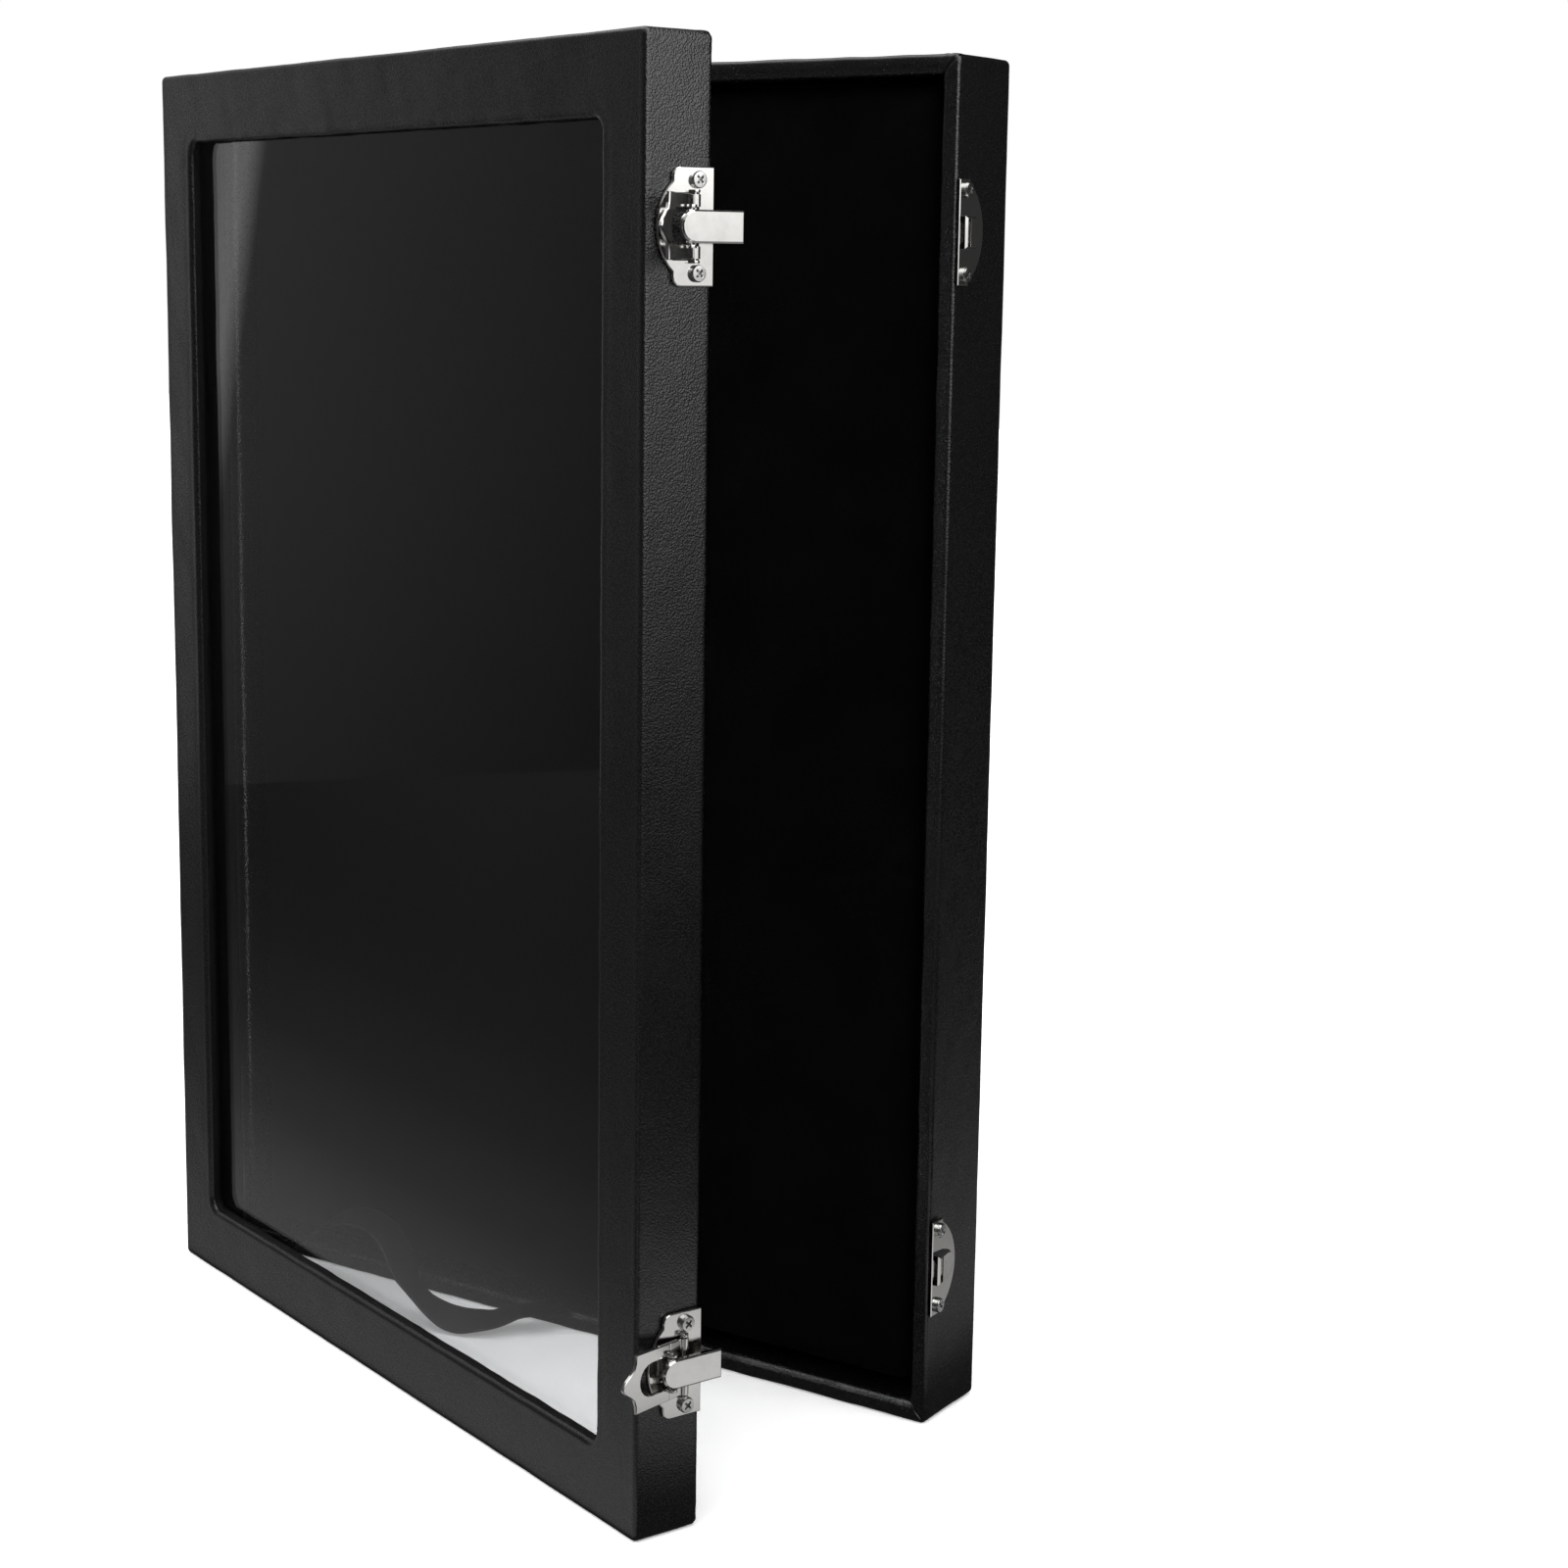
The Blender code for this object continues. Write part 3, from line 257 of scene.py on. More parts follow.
PEBBLE_SCALE = 2000.0
PEBBLE_BEND = 0.0002
GRAIN_DEPTH = 0.00012


def leatherette():
    """Black imitation leather: small rounded pebbles, duller in the valleys between them, where painted
    shade also darkens the colour.
    """
    t = Tree("black_leatherette")
    warp = t.node("ShaderNodeTexNoise", {"Vector": t.coords, "Scale": 900.0, "Detail": 1.0})
    bent = t.scaled(warp.outputs["Color"], PEBBLE_BEND)
    place = t.node("ShaderNodeVectorMath", {0: t.coords, 1: bent}, operation="ADD").outputs[0]
    pebble = t.node("ShaderNodeMapRange", {
        "Value": t.cells(PEBBLE_SCALE, place), "From Min": 0.80, "From Max": 0.20},
        interpolation_type="SMOOTHSTEP").outputs["Result"]
    fine = t.noise(5200.0, detail=2.0)
    wear = t.noise(38.0, detail=3.0, rough=0.6)
    # the grain stands up on the narrow sides, most near the top, and is pressed flatter on the fronts
    facing = t.axes(t.node("ShaderNodeTexCoord").outputs["Normal"])
    sideways = t.span(t.maths("ABSOLUTE", facing["X"]), (0.5, 0.85), (0.30, 1.0))
    raised = t.span(t.axes()["Z"], (0.06, 0.24), (0.45, 1.1))
    grain = t.maths("ADD", pebble, t.maths("MULTIPLY", fine, 0.15))
    height = t.maths("MULTIPLY", grain, t.maths("MULTIPLY", sideways, raised))
    # colour: painted shade darkens the valleys between the pebbles, and broad random patches of wear vary
    # the tone
    colour = t.ramp(t.weighted(pebble, 0.6, wear, 0.4),
                    (0.2, (0.0018, 0.0018, 0.0020)), (0.8, (0.0040, 0.0040, 0.0043)))
    dull = t.maths("ADD", t.maths("SUBTRACT", 1.0, pebble), wear)
    t.shader(Base_Color=colour, Roughness=t.span(dull, (0.3, 1.5), (0.22, 0.36)), Specular_IOR_Level=1.0,
             Normal=t.bump(height, GRAIN_DEPTH, strength=0.5))
    return t.material


def shaded_lining():
    """Painted shade: the turned-in edge at the window, pressed flat and rubbed matt, a dull copy of the
    leatherette whose gloss is cut low so the wall stays dark as if in shade.
    """
    t = Tree("black_edge_lining_painted_shade")
    grain = t.noise(1500.0, detail=3.0, rough=0.6)
    streak = t.noise(1.0, detail=3.0, rough=0.6, vector=t.stretched(900.0, 900.0, 60.0))
    colour = t.ramp(streak, (0.3, (0.0022, 0.0022, 0.0023)), (0.75, (0.0050, 0.0050, 0.0052)))
    # the low gloss is painted shade for the window's recess
    t.shader(Base_Color=colour, Roughness=t.span(grain, (0.3, 0.7), (0.62, 0.8)), Specular_IOR_Level=0.22,
             Normal=t.bump(t.maths("ADD", grain, streak), 0.00010, strength=0.6))
    return t.material


def velvet():
    """Deep black pile that catches a little light where it leans."""
    t = Tree("black_velvet")
    nap = t.noise(55.0, detail=4.0, rough=0.6)
    pile = t.noise(5200.0, detail=2.0, rough=0.6)
    colour = t.ramp(nap, (0.30, (0.0004, 0.0004, 0.0005)), (0.75, (0.0010, 0.0010, 0.0012)))
    height = t.maths("ADD", pile, t.maths("MULTIPLY", nap, 0.5))
    t.shader(Base_Color=colour, Roughness=0.95, Normal=t.bump(height, 0.00012, strength=0.6),
             Specular_IOR_Level=0.06, Sheen_Weight=0.03, Sheen_Roughness=0.45,
             Sheen_Tint=(0.25, 0.25, 0.27, 1.0))
    return t.material


def satin():
    """Black satin ribbon with a fine weave."""
    t = Tree("black_satin_ribbon")
    weave = t.noise(1.0, detail=2.0, rough=0.5, vector=t.stretched(2600.0, 2600.0, 900.0))
    cloud = t.noise(160.0, detail=3.0)
    colour = t.ramp(cloud, (0.3, (0.0020, 0.0020, 0.0022)), (0.7, (0.0040, 0.0040, 0.0044)))
    t.shader(Base_Color=colour, Roughness=t.span(weave, (0.3, 0.7), (0.40, 0.56)),
             Normal=t.bump(weave, 0.00008, strength=0.6), Specular_IOR_Level=0.3,
             Sheen_Weight=0.02, Sheen_Roughness=0.35)
    return t.material


def plated(name, base, rough_range, scratch_depth):
    """Bright plated metal with faint rubbing marks and small clouds in the polish."""
    t = Tree(name)
    rub = t.noise(1.0, detail=3.0, rough=0.6, vector=t.stretched(1500.0, 1500.0, 700.0))
    cloud = t.noise(260.0, detail=3.0, rough=0.55)
    dark = tuple(0.92 * c for c in base)
    height = t.maths("ADD", t.maths("MULTIPLY", rub, 0.3), cloud)
    t.shader(Base_Color=t.ramp(cloud, (0.32, dark), (0.62, base)), Metallic=1.0,
             Roughness=t.span(t.weighted(rub, 0.3, cloud, 0.7), (0.3, 0.7), rough_range),
             Normal=t.bump(height, scratch_depth, strength=0.25))
    return t.material


def timber(name, dark, light, rough):
    """Sawn softwood with the grain along the rail."""
    t = Tree(name)
    grain = t.noise(1.0, detail=6.0, rough=0.62, vector=t.stretched(420.0, 420.0, 22.0))
    pores = t.noise(1.0, detail=3.0, rough=0.5, vector=t.stretched(2600.0, 2600.0, 120.0))
    height = t.maths("ADD", grain, t.maths("MULTIPLY", pores, 0.5))
    t.shader(Base_Color=t.ramp(grain, (0.3, dark), (0.7, light)),
             Roughness=t.span(pores, (0.3, 0.7), (rough - 0.1, rough + 0.1)),
             Normal=t.bump(height, 0.0002, strength=0.5))
    return t.material


def board():
    """Pressed fibreboard: short pale fibres and specks."""
    t = Tree("fibreboard")
    fibre = t.noise(1.0, detail=5.0, rough=0.7, vector=t.stretched(900.0, 900.0, 420.0))
    colour = t.ramp(t.weighted(fibre, 0.7, t.cells(900.0), 0.3),
                    (0.28, (0.20, 0.135, 0.08)), (0.70, (0.40, 0.29, 0.18)))
    t.shader(Base_Color=colour, Roughness=t.span(fibre, (0.3, 0.7), (0.72, 0.9)),
             Normal=t.bump(fibre, 0.0002, strength=0.5))
    return t.material


def foam():
    """Grey open cell foam."""
    t = Tree("grey_foam")
    cell = t.cells(1100.0)
    colour = t.ramp(cell, (0.15, (0.13, 0.13, 0.14)), (0.65, (0.05, 0.05, 0.055)))
    t.shader(Base_Color=colour, Roughness=0.95, Normal=t.bump(cell, 0.0003, strength=0.8))
    return t.material


def clear_sheet():
    """Clear acrylic with the faintest haze and a few rubbed places."""
    t = Tree("clear_acrylic")
    haze = t.noise(30.0, detail=5.0, rough=0.7)
    wave = t.noise(9.0, detail=1.0)
    t.shader(Base_Color=(0.955, 0.97, 0.975, 1.0), Roughness=t.span(haze, (0.55, 0.85), (0.0, 0.03)),
             Transmission_Weight=1.0, IOR=1.49, Normal=t.bump(wave, 0.0004, strength=0.08))
    return t.material


LEATHER = leatherette()
SHADED_LINING = shaded_lining()
VELVET = velvet()
RIBBON = satin()
STEEL = plated("zinc_plated_steel", (0.70, 0.70, 0.69), (0.16, 0.32), 0.00005)
STAINED = timber("black_stained_wood", (0.010, 0.009, 0.009), (0.024, 0.022, 0.021), 0.55)

FINISH = {
    "leatherette": LEATHER,
    "velvet": VELVET,
    "ribbon": RIBBON,
    "nickel": plated("polished_nickel", (0.78, 0.77, 0.75), (0.07, 0.19), 0.00003),
    "steel": STEEL,
    "timber": timber("raw_softwood", (0.36, 0.25, 0.145), (0.58, 0.44, 0.28), 0.74),
    "board": board(),
    "foam": foam(),
    "clear": clear_sheet(),
}


# Dress the CAD nodes: joined facets, small edge rounds and smooth shading

JOIN_DISTANCE = 0.000002
SHARP_ANGLE = math.radians(32.0)
FLAT_ANGLE = math.radians(0.4)
METAL_EDGE_ROUND = 0.00018


def modifier_group(name):
    """A new geometry node group, and the output of its input node."""
    group = bpy.data.node_groups.new(name, "GeometryNodeTree")
    group.interface.new_socket("Geometry", in_out="INPUT", socket_type="NodeSocketGeometry")
    group.interface.new_socket("Geometry", in_out="OUTPUT", socket_type="NodeSocketGeometry")
    return group, group.nodes.new("NodeGroupInput").outputs[0]


def join_facets():
    """Merges the split points of neighbouring facets."""
    group, flow = modifier_group("join_facets")
    join = group.nodes.new("GeometryNodeMergeByDistance")
    join.inputs["Distance"].default_value = JOIN_DISTANCE
    group.links.new(flow, join.inputs["Geometry"])
    drop = group.nodes.new("GeometryNodeRemoveAttribute")
    drop.inputs["Name"].default_value = "custom_normal"
    group.links.new(join.outputs[0], drop.inputs["Geometry"])
    group.links.new(drop.outputs[0], group.nodes.new("NodeGroupOutput").inputs[0])
    return group


def shade_by_angle():
    """Shades smooth over every edge that bends less than the sharp angle."""
    group, flow = modifier_group("shade_by_angle")
    faces = group.nodes.new("GeometryNodeSetShadeSmooth")
    faces.domain = "FACE"
    group.links.new(flow, faces.inputs[0])
    edges = group.nodes.new("GeometryNodeSetShadeSmooth")
    edges.domain = "EDGE"
    group.links.new(faces.outputs[0], edges.inputs[0])
    bend = group.nodes.new("GeometryNodeInputMeshEdgeAngle")
    below = group.nodes.new("FunctionNodeCompare")
    below.operation = "LESS_THAN"
    below.inputs[1].default_value = SHARP_ANGLE
    group.links.new(bend.outputs["Unsigned Angle"], below.inputs[0])
    group.links.new(below.outputs[0], edges.inputs["Shade Smooth"])
    group.links.new(edges.outputs[0], group.nodes.new("NodeGroupOutput").inputs[0])
    return group


merge_group = join_facets()
shade_group = shade_by_angle()


def dress(piece, material, edge_round):
    for place in piece.material_slots:
        place.material = material
    first = piece.modifiers.new("join_facets", "NODES")
    first.node_group = merge_group
    if edge_round:
        flat = piece.modifiers.new("whole_faces", "DECIMATE")
        flat.decimate_type = "DISSOLVE"
        flat.angle_limit = FLAT_ANGLE
        bevel = piece.modifiers.new("edge_round", "BEVEL")
        bevel.width = edge_round
        bevel.segments = 3
        bevel.limit_method = "ANGLE"
        bevel.angle_limit = SHARP_ANGLE
        bevel.use_clamp_overlap = True
    last = piece.modifiers.new("shade_by_angle", "NODES")
    last.node_group = shade_group
    if edge_round:
        even = piece.modifiers.new("even_shading", "WEIGHTED_NORMAL")
        even.keep_sharp = True


slot_of = {row["node"]: row["material_slot"] for row in frame["record"]["subparts"]}
BLACKENED = ("pane_retainer", "pad_board", "base_back_board", "lid_front_board")
for node_name, cad_piece in nodes.items():
    finish = slot_of[node_name]
    dress(cad_piece, STAINED if node_name in BLACKENED else FINISH[finish],
          METAL_EDGE_ROUND if finish in ("nickel", "steel") else 0.0)


# Covers of leatherette: sections swept round the case, then creased and rippled

NEAR_STEP = 0.22 * MM
FAR_STEP = 1.9 * MM
STEP_GROWTH = 1.14
SECTION_STEP = 0.8 * MM
CORNER_STEPS = 7
OUTER_CORNER_RADIUS = 0.0016
LEAST_CORNER_RADIUS = 0.0006
WIDEST_CORNER_RADIUS = 0.0120
CORNER_SIGNS = ((1, 1), (-1, 1), (-1, -1), (1, -1))


def spaced(length):
    """Fractions along a side, close together near its ends."""
    steps, total, step = [], 0.0, NEAR_STEP
    while total < length / 2:
        steps.append(step)
        total += step
        step = min(step * STEP_GROWTH, FAR_STEP)
    half = np.cumsum(steps) / total / 2
    return np.concatenate((half[:-1], [0.5], (1 - half[:-1])[::-1]))


ALONG_X = spaced(2 * HALF_WIDTH)
ALONG_Z = spaced(HEIGHT)


def ring(half_x, half_z, radius):
    """Points (x, z) round the case: four arcs and the close spaced sides between them."""
    middles = [np.array((sx * (half_x - radius), sz * (half_z - radius))) for sx, sz in CORNER_SIGNS]
    points = []
    for index, middle in enumerate(middles):
        angle = RIGHT_ANGLE * (index + np.linspace(0, 1, CORNER_STEPS))
        arc = middle + radius * np.stack((np.cos(angle), np.sin(angle)), axis=1)
        turn = RIGHT_ANGLE * (index + 1)
        follow = middles[(index + 1) % len(middles)]
        end = follow + radius * np.array((math.cos(turn), math.sin(turn)))
        share = (ALONG_X if index % 2 == 0 else ALONG_Z)[:, None]
        points += [arc, arc[-1] + (end - arc[-1]) * share]
    flat = np.concatenate(points)
    flat[:, 1] += HALF_HEIGHT
    return flat


def cover_ring(inset, has_window):
    """A ring of a cover: small corners outside, and the window's wide corners far in."""
    if has_window and inset > RIM_WIDTH + FIT_GAP:
        shift = (WINDOW_END - WINDOW_SIDE) * min(1.0, (inset - RIM_WIDTH) / (WINDOW_END - RIM_WIDTH))
        radius = WINDOW_RADIUS + max(0.0, WINDOW_END - inset)
        return ring(HALF_WIDTH - inset + shift, HALF_HEIGHT - inset, min(radius, WIDEST_CORNER_RADIUS))
    return ring(HALF_WIDTH - inset, HALF_HEIGHT - inset,
                max(OUTER_CORNER_RADIUS - inset, LEAST_CORNER_RADIUS))


def section_line(corners):
    """The points (inset, y) of a section, with rounded corners and points along its straights."""
    rounded = []
    for index, (inset, y, radius) in enumerate(corners):
        here = np.array((inset, y))
        if radius == 0:
            rounded.append([here])
            continue
        back = unit(np.array(corners[index - 1][:2]) - here)
        ahead = unit(np.array(corners[index + 1][:2]) - here)
        centre = here + (back + ahead) * radius
        first, last = -ahead * radius, -back * radius
        angles = np.linspace(0, RIGHT_ANGLE, CORNER_STEPS)
        rounded.append([centre + first * math.cos(t) + last * math.sin(t) for t in angles])
    points = []
    for group in rounded:
        if points:
            start, end = points[-1], group[0]
            count = max(1, int(round(np.linalg.norm(end - start) / SECTION_STEP)))
            points += [start + (end - start) * k / count for k in range(1, count)]
        points += group
    return np.array(points)


def swept_cover(name, outside, inside, has_window, shape_change):
    """Closed shell of leatherette whose outer face is shaped by shape_change."""
    section = np.concatenate((outside, inside))
    rings = [(y, cover_ring(inset, has_window)) for inset, y in section]
    grid = np.array([
        np.stack((points[:, 0], np.full(len(points), y), points[:, 1]), axis=1) for y, points in rings])
    count = len(outside)
    along = np.roll(grid, -1, axis=1) - np.roll(grid, 1, axis=1)
    across = np.roll(grid, -1, axis=0) - np.roll(grid, 1, axis=0)
    normal = np.cross(along, across)
    normal /= np.maximum(np.linalg.norm(normal, axis=2), 1e-12)[..., None]
    # the middle of the outer line faces away from the case's centre
    middle = count // 2
    outward = normal[middle] * (grid[middle] - np.array((0, 0, HALF_HEIGHT)))
    if outward[:, [0, 2]].sum() < 0:
        normal = -normal
    moved = shape_change(grid[:count], section[:count])
    grid[:count] += normal[:count] * moved[..., None]
    rows, columns = grid.shape[:2]
    index = np.arange(rows * columns).reshape(rows, columns)
    right, down = np.roll(index, -1, axis=1), np.roll(index, -1, axis=0)
    faces = np.stack((index, right, np.roll(right, -1, axis=0), down), axis=-1).reshape(-1, 4)
    piece = new_object(name, grid.reshape(-1, 3), faces.tolist(), LEATHER)
    face_outwards(piece)
    return piece


# How far the wrap stands off its plain section, and how wide each feature is
DEEPEST = -0.45 * MM
PROUD_AT_RIM = 0.11 * MM
LID_PROUD, LID_RIM_BAND = 0.22 * MM, 1.6 * MM
BASE_PROUD, BASE_RIM_BAND = 0.20 * MM, 2.2 * MM
LID_SLOW_WAVE, BASE_SLOW_WAVE, MIDDLE_WAVE = 0.035 * MM, 0.030 * MM, 0.018 * MM
EDGE_WAVE = 0.03 * MM
FRONT_BAND, FRONT_FADE = 1.0 * MM, 1.2 * MM
STROKE_REACH, STROKE_LOW, STROKE_TOP = 5.0 * MM, 0.008 * MM, 0.016 * MM
STROKE_WAVES, STROKE_BEND = 2100.0, 3.0
TOP_START_Z, TOP_FULL_Z = 0.300, 0.335
DIP, DIP_PLACE, DIP_WIDTH = -0.05 * MM, 3.2 * MM, 1.3 * MM
TURNED_EDGE_WIDTH = 1.2 * MM
RIDGE, RIDGE_PLACE, RIDGE_WIDTH = 0.06 * MM, 0.9 * MM, 0.7 * MM
RIM_FADE = 2.0 * MM

# The folds at a rim's corners
FOLD_DEPTH, FOLD_LENGTH = 3.0 * MM, 9.0 * MM
VALLEY, VALLEY_WIDTH = -0.40 * MM, 0.28 * MM
FLAP, FLAP_START, FLAP_FULL, FLAP_REACH = 0.22 * MM, -0.1 * MM, 0.5 * MM, 5 * MM
GATHER, GATHER_REACH = 0.10 * MM, 4 * MM
LID_FOLD_SHARE, BASE_FOLD_SHARE = 0.8, 1.0


def corner_distances(points):
    """Across the mitre line, and along it from the outer corner."""
    from_x = HALF_WIDTH - np.abs(points[..., 0])
    from_z = HALF_HEIGHT - np.abs(points[..., 2] - HALF_HEIGHT)
    return (from_x - from_z) / math.sqrt(2), (from_x + from_z) / math.sqrt(2)


def mitre(points, rim_y, away_from_rim, share):
    """Folded corners of a rim: a sharp valley, a lapped flap and short gathers beside it."""
    across, outwards = corner_distances(points)
    near_rim = bell(np.maximum(0.0, away_from_rim * (points[..., 1] - rim_y)), FOLD_DEPTH)
    near_corner = bell(outwards, FOLD_LENGTH)
    valley = VALLEY * bell(across, VALLEY_WIDTH)
    flap = FLAP * smooth_step(across, FLAP_START, FLAP_FULL) * np.exp(-np.abs(across) / FLAP_REACH)
    gathers = GATHER * quick_waves(points) * np.exp(-np.abs(across) / GATHER_REACH)
    return share * near_rim * near_corner * (valley + flap + gathers)


def lid_shape(points, section):
    """How far the lid's leatherette stands off its plain section."""
    change = LID_SLOW_WAVE * slow(points) + MIDDLE_WAVE * middling(points)
    inset = section[:, 0][:, None] * np.ones(points.shape[:2])
    depth = section[:, 1][:, None] * np.ones(points.shape[:2])
    front = bell(np.maximum(0.0, depth - LID_FRONT_Y - FRONT_BAND), FRONT_FADE)
    # fine strokes beside the window, stronger near the top
    at_window = bell(WINDOW_END - inset, STROKE_REACH) * front
    bent = points[..., 0] * STROKE_WAVES + STROKE_BEND * middling(points)
    strokes = np.sin(bent) * 0.5 + quick_waves(points) * 0.5
    top = smooth_step(points[..., 2], TOP_START_Z, TOP_FULL_Z)
    change += at_window * (STROKE_LOW + STROKE_TOP * top) * strokes
    # the wrap dips a little before the window's turned edge
    change += DIP * bell(WINDOW_END - DIP_PLACE - inset, DIP_WIDTH) * front
    # waviness of the turned edge itself
    change += bell(WINDOW_END - inset, TURNED_EDGE_WIDTH) * EDGE_WAVE * middling(points)
    # the wrap is full along the outer front edge
    change += RIDGE * (bell(inset - RIDGE_PLACE, RIDGE_WIDTH) * front)
    change += mitre(points, LID_CLOSE_Y, -1.0, LID_FOLD_SHARE)
    return np.clip(change, DEEPEST, np.where(depth > LID_CLOSE_Y - LID_RIM_BAND, PROUD_AT_RIM, LID_PROUD))


def base_shape(points, section):
    """How far the base's leatherette stands off its plain section."""
    change = BASE_SLOW_WAVE * slow(points) + MIDDLE_WAVE * middling(points)
    depth = section[:, 1][:, None] * np.ones(points.shape[:2])
    change += bell(np.maximum(0.0, depth - RIM_Y), RIM_FADE) * EDGE_WAVE * middling(points)
    change += mitre(points, RIM_Y, 1.0, BASE_FOLD_SHARE)
    return np.clip(change, DEEPEST, np.where(depth < RIM_Y + BASE_RIM_BAND, PROUD_AT_RIM, BASE_PROUD))


WINDOW_EDGE_ROUND = 0.0016
FRONT_EDGE_ROUND = 0.0010
LID_RIM_ROUND = 0.0014
BACK_EDGE_ROUND = 0.0012
BASE_RIM_OUTER_ROUND = 0.0010
BASE_RIM_INNER_ROUND = 0.0021
INNER_CHAMFER = 0.0012
BASE_COVER_END_Y = BACK_BOARD_FRONT_Y - FIT_GAP
LINING_OVERLAP = 0.2 * MM
LINING_START = 1.2 * MM

lid_cover = swept_cover(
    "lid_leatherette",
    section_line([
        (WINDOW_END, BOARD_BACK_Y, 0.0),
        (WINDOW_END, LID_FRONT_Y, WINDOW_EDGE_ROUND),
        (0.0, LID_FRONT_Y, FRONT_EDGE_ROUND),
        (0.0, LID_CLOSE_Y, LID_RIM_ROUND),
        (RIM_WIDTH, LID_CLOSE_Y, LID_RIM_ROUND),
        (RIM_WIDTH, BOARD_BACK_Y, 0.0),
    ]),
    np.array([
        (RIM_WIDTH - COVER_THICK, BOARD_BACK_Y),
        (RIM_WIDTH - COVER_THICK, LID_CLOSE_Y - COVER_THICK),
        (COVER_THICK, LID_CLOSE_Y - COVER_THICK),
        (COVER_THICK, LID_FRONT_Y + COVER_THICK),
        (WINDOW_END - COVER_THICK, LID_FRONT_Y + COVER_THICK),
        (WINDOW_END - COVER_THICK, BOARD_BACK_Y),
    ]), True, lid_shape)
# the window's turned-in wall gets the dull lining, painted shade for the recess
lid_cover.data.materials.append(SHADED_LINING)
for face in lid_cover.data.polygons:
    middle = face.center
    turned_in = (abs(middle.x) < HALF_WIDTH - RIM_WIDTH + LINING_OVERLAP
                 and abs(middle.z - HALF_HEIGHT) < HALF_HEIGHT - RIM_WIDTH + LINING_OVERLAP)
    if turned_in and middle.y > LID_FRONT_Y + LINING_START:
        face.material_index = 1
lid_cover.data.transform(lid_place)

base_cover = swept_cover(
    "base_leatherette",
    section_line([
        (BACK_TURNOVER, BACK_Y, 0.0),
        (0.0, BACK_Y, BACK_EDGE_ROUND),
        (0.0, RIM_Y, BASE_RIM_OUTER_ROUND),
        (RIM_WIDTH, RIM_Y, BASE_RIM_INNER_ROUND),
        (RIM_WIDTH, BASE_COVER_END_Y, 0.0),
    ]),
    np.array([
        (RIM_WIDTH - COVER_THICK, BASE_COVER_END_Y),
        (RIM_WIDTH - COVER_THICK, RIM_Y + INNER_CHAMFER),
        (RIM_WIDTH - INNER_CHAMFER, RIM_Y + COVER_THICK),
        (INNER_CHAMFER, RIM_Y + COVER_THICK),
        (COVER_THICK, RIM_Y + INNER_CHAMFER),
        (COVER_THICK, BACK_Y - COVER_THICK),
        (BACK_TURNOVER, BACK_Y - COVER_THICK),
    ]), False, base_shape)

for piece, body, node_name in ((lid_cover, "lid", "lid_cover"), (base_cover, "base", "base_cover")):
    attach(piece, body)
    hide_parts(node_name)


# Velvet pad: a crowned, foam filled block drawn over at its edges, swelled by cloth simulation

PAD_INSET = RIM_WIDTH + FIT_GAP
PAD_HALF_X = HALF_WIDTH - PAD_INSET
PAD_HALF_Z = HALF_HEIGHT - PAD_INSET
PAD_FRONT = -0.01125
PAD_BACK = 0.0076
PAD_FOREMOST = -0.01240
START_INSET = 0.5 * MM
START_THINNER = 0.9 * MM
START_ROUND = 2.6 * MM
VOXEL = 4.5 * MM
HELD_DEPTH = 2.5 * MM
CLOTH_FRAMES = 20
SWELL_REACH = 1.4 * MM
CROWN = 0.9 * MM
PAD_SLOW_WAVE = 0.10 * MM
PAD_MIDDLE_WAVE = 0.04 * MM
DRAWN_DEPTH = 0.008
CROWN_START_SHARE_X, CROWN_START_SHARE_Z = 0.72, 0.80


def pad_start():
    """Closed block, a little smaller than the pad, that the simulation swells."""
    shape = bmesh.new()
    bmesh.ops.create_cube(shape, size=1.0)
    depth = PAD_BACK - PAD_FRONT - START_THINNER
    size = (2 * (PAD_HALF_X - START_INSET), depth, 2 * (PAD_HALF_Z - START_INSET), 1.0)
    place = Matrix.Translation((0.0, PAD_BACK - depth / 2, HALF_HEIGHT))
    bmesh.ops.transform(shape, matrix=place @ Matrix.Diagonal(size), verts=shape.verts)
    front = [e for e in shape.edges if all(v.co.y < 0 for v in e.verts)]
    upright = [e for e in shape.edges if abs(e.verts[0].co.y - e.verts[1].co.y) > MM]
    bmesh.ops.bevel(shape, geom=front + upright, offset=START_ROUND, segments=4, affect="EDGES", profile=0.5)
    mesh = bpy.data.meshes.new("velvet_cushion")
    shape.to_mesh(mesh)
    shape.free()
    piece = bpy.data.objects.new("velvet_cushion", mesh)
    bpy.context.scene.collection.objects.link(piece)
    return piece


def swelled(piece, start):
    """Where a short cloth simulation under pressure takes the points, at most SWELL_REACH away."""
    held = piece.vertex_groups.new(name="held")
    held.add([i for i, p in enumerate(start) if p[1] > PAD_BACK - HELD_DEPTH], 1.0, "REPLACE")
    cloth = piece.modifiers.new("cloth", "CLOTH")
    cloth.settings.quality = 5
    cloth.settings.mass = 0.2
    cloth.settings.tension_stiffness = 12.0
    cloth.settings.compression_stiffness = 12.0
    cloth.settings.bending_stiffness = 0.6
    cloth.settings.use_pressure = True
    cloth.settings.uniform_pressure_force = 4.0
    cloth.settings.vertex_group_mass = "held"
    cloth.settings.effector_weights.gravity = 0.0
    cloth.collision_settings.use_self_collision = False
    scene = bpy.context.scene
    for step in range(1, CLOTH_FRAMES + 1):
        scene.frame_set(step)
    graph = bpy.context.evaluated_depsgraph_get()
    moved = np.array([v.co for v in piece.evaluated_get(graph).data.vertices])
    piece.modifiers.clear()
    piece.vertex_groups.clear()
    scene.frame_set(1)
    move = moved - start
    length = np.linalg.norm(move, axis=1)
    move *= (np.minimum(length, SWELL_REACH) / np.maximum(length, 1e-9))[:, None]
    return start + move


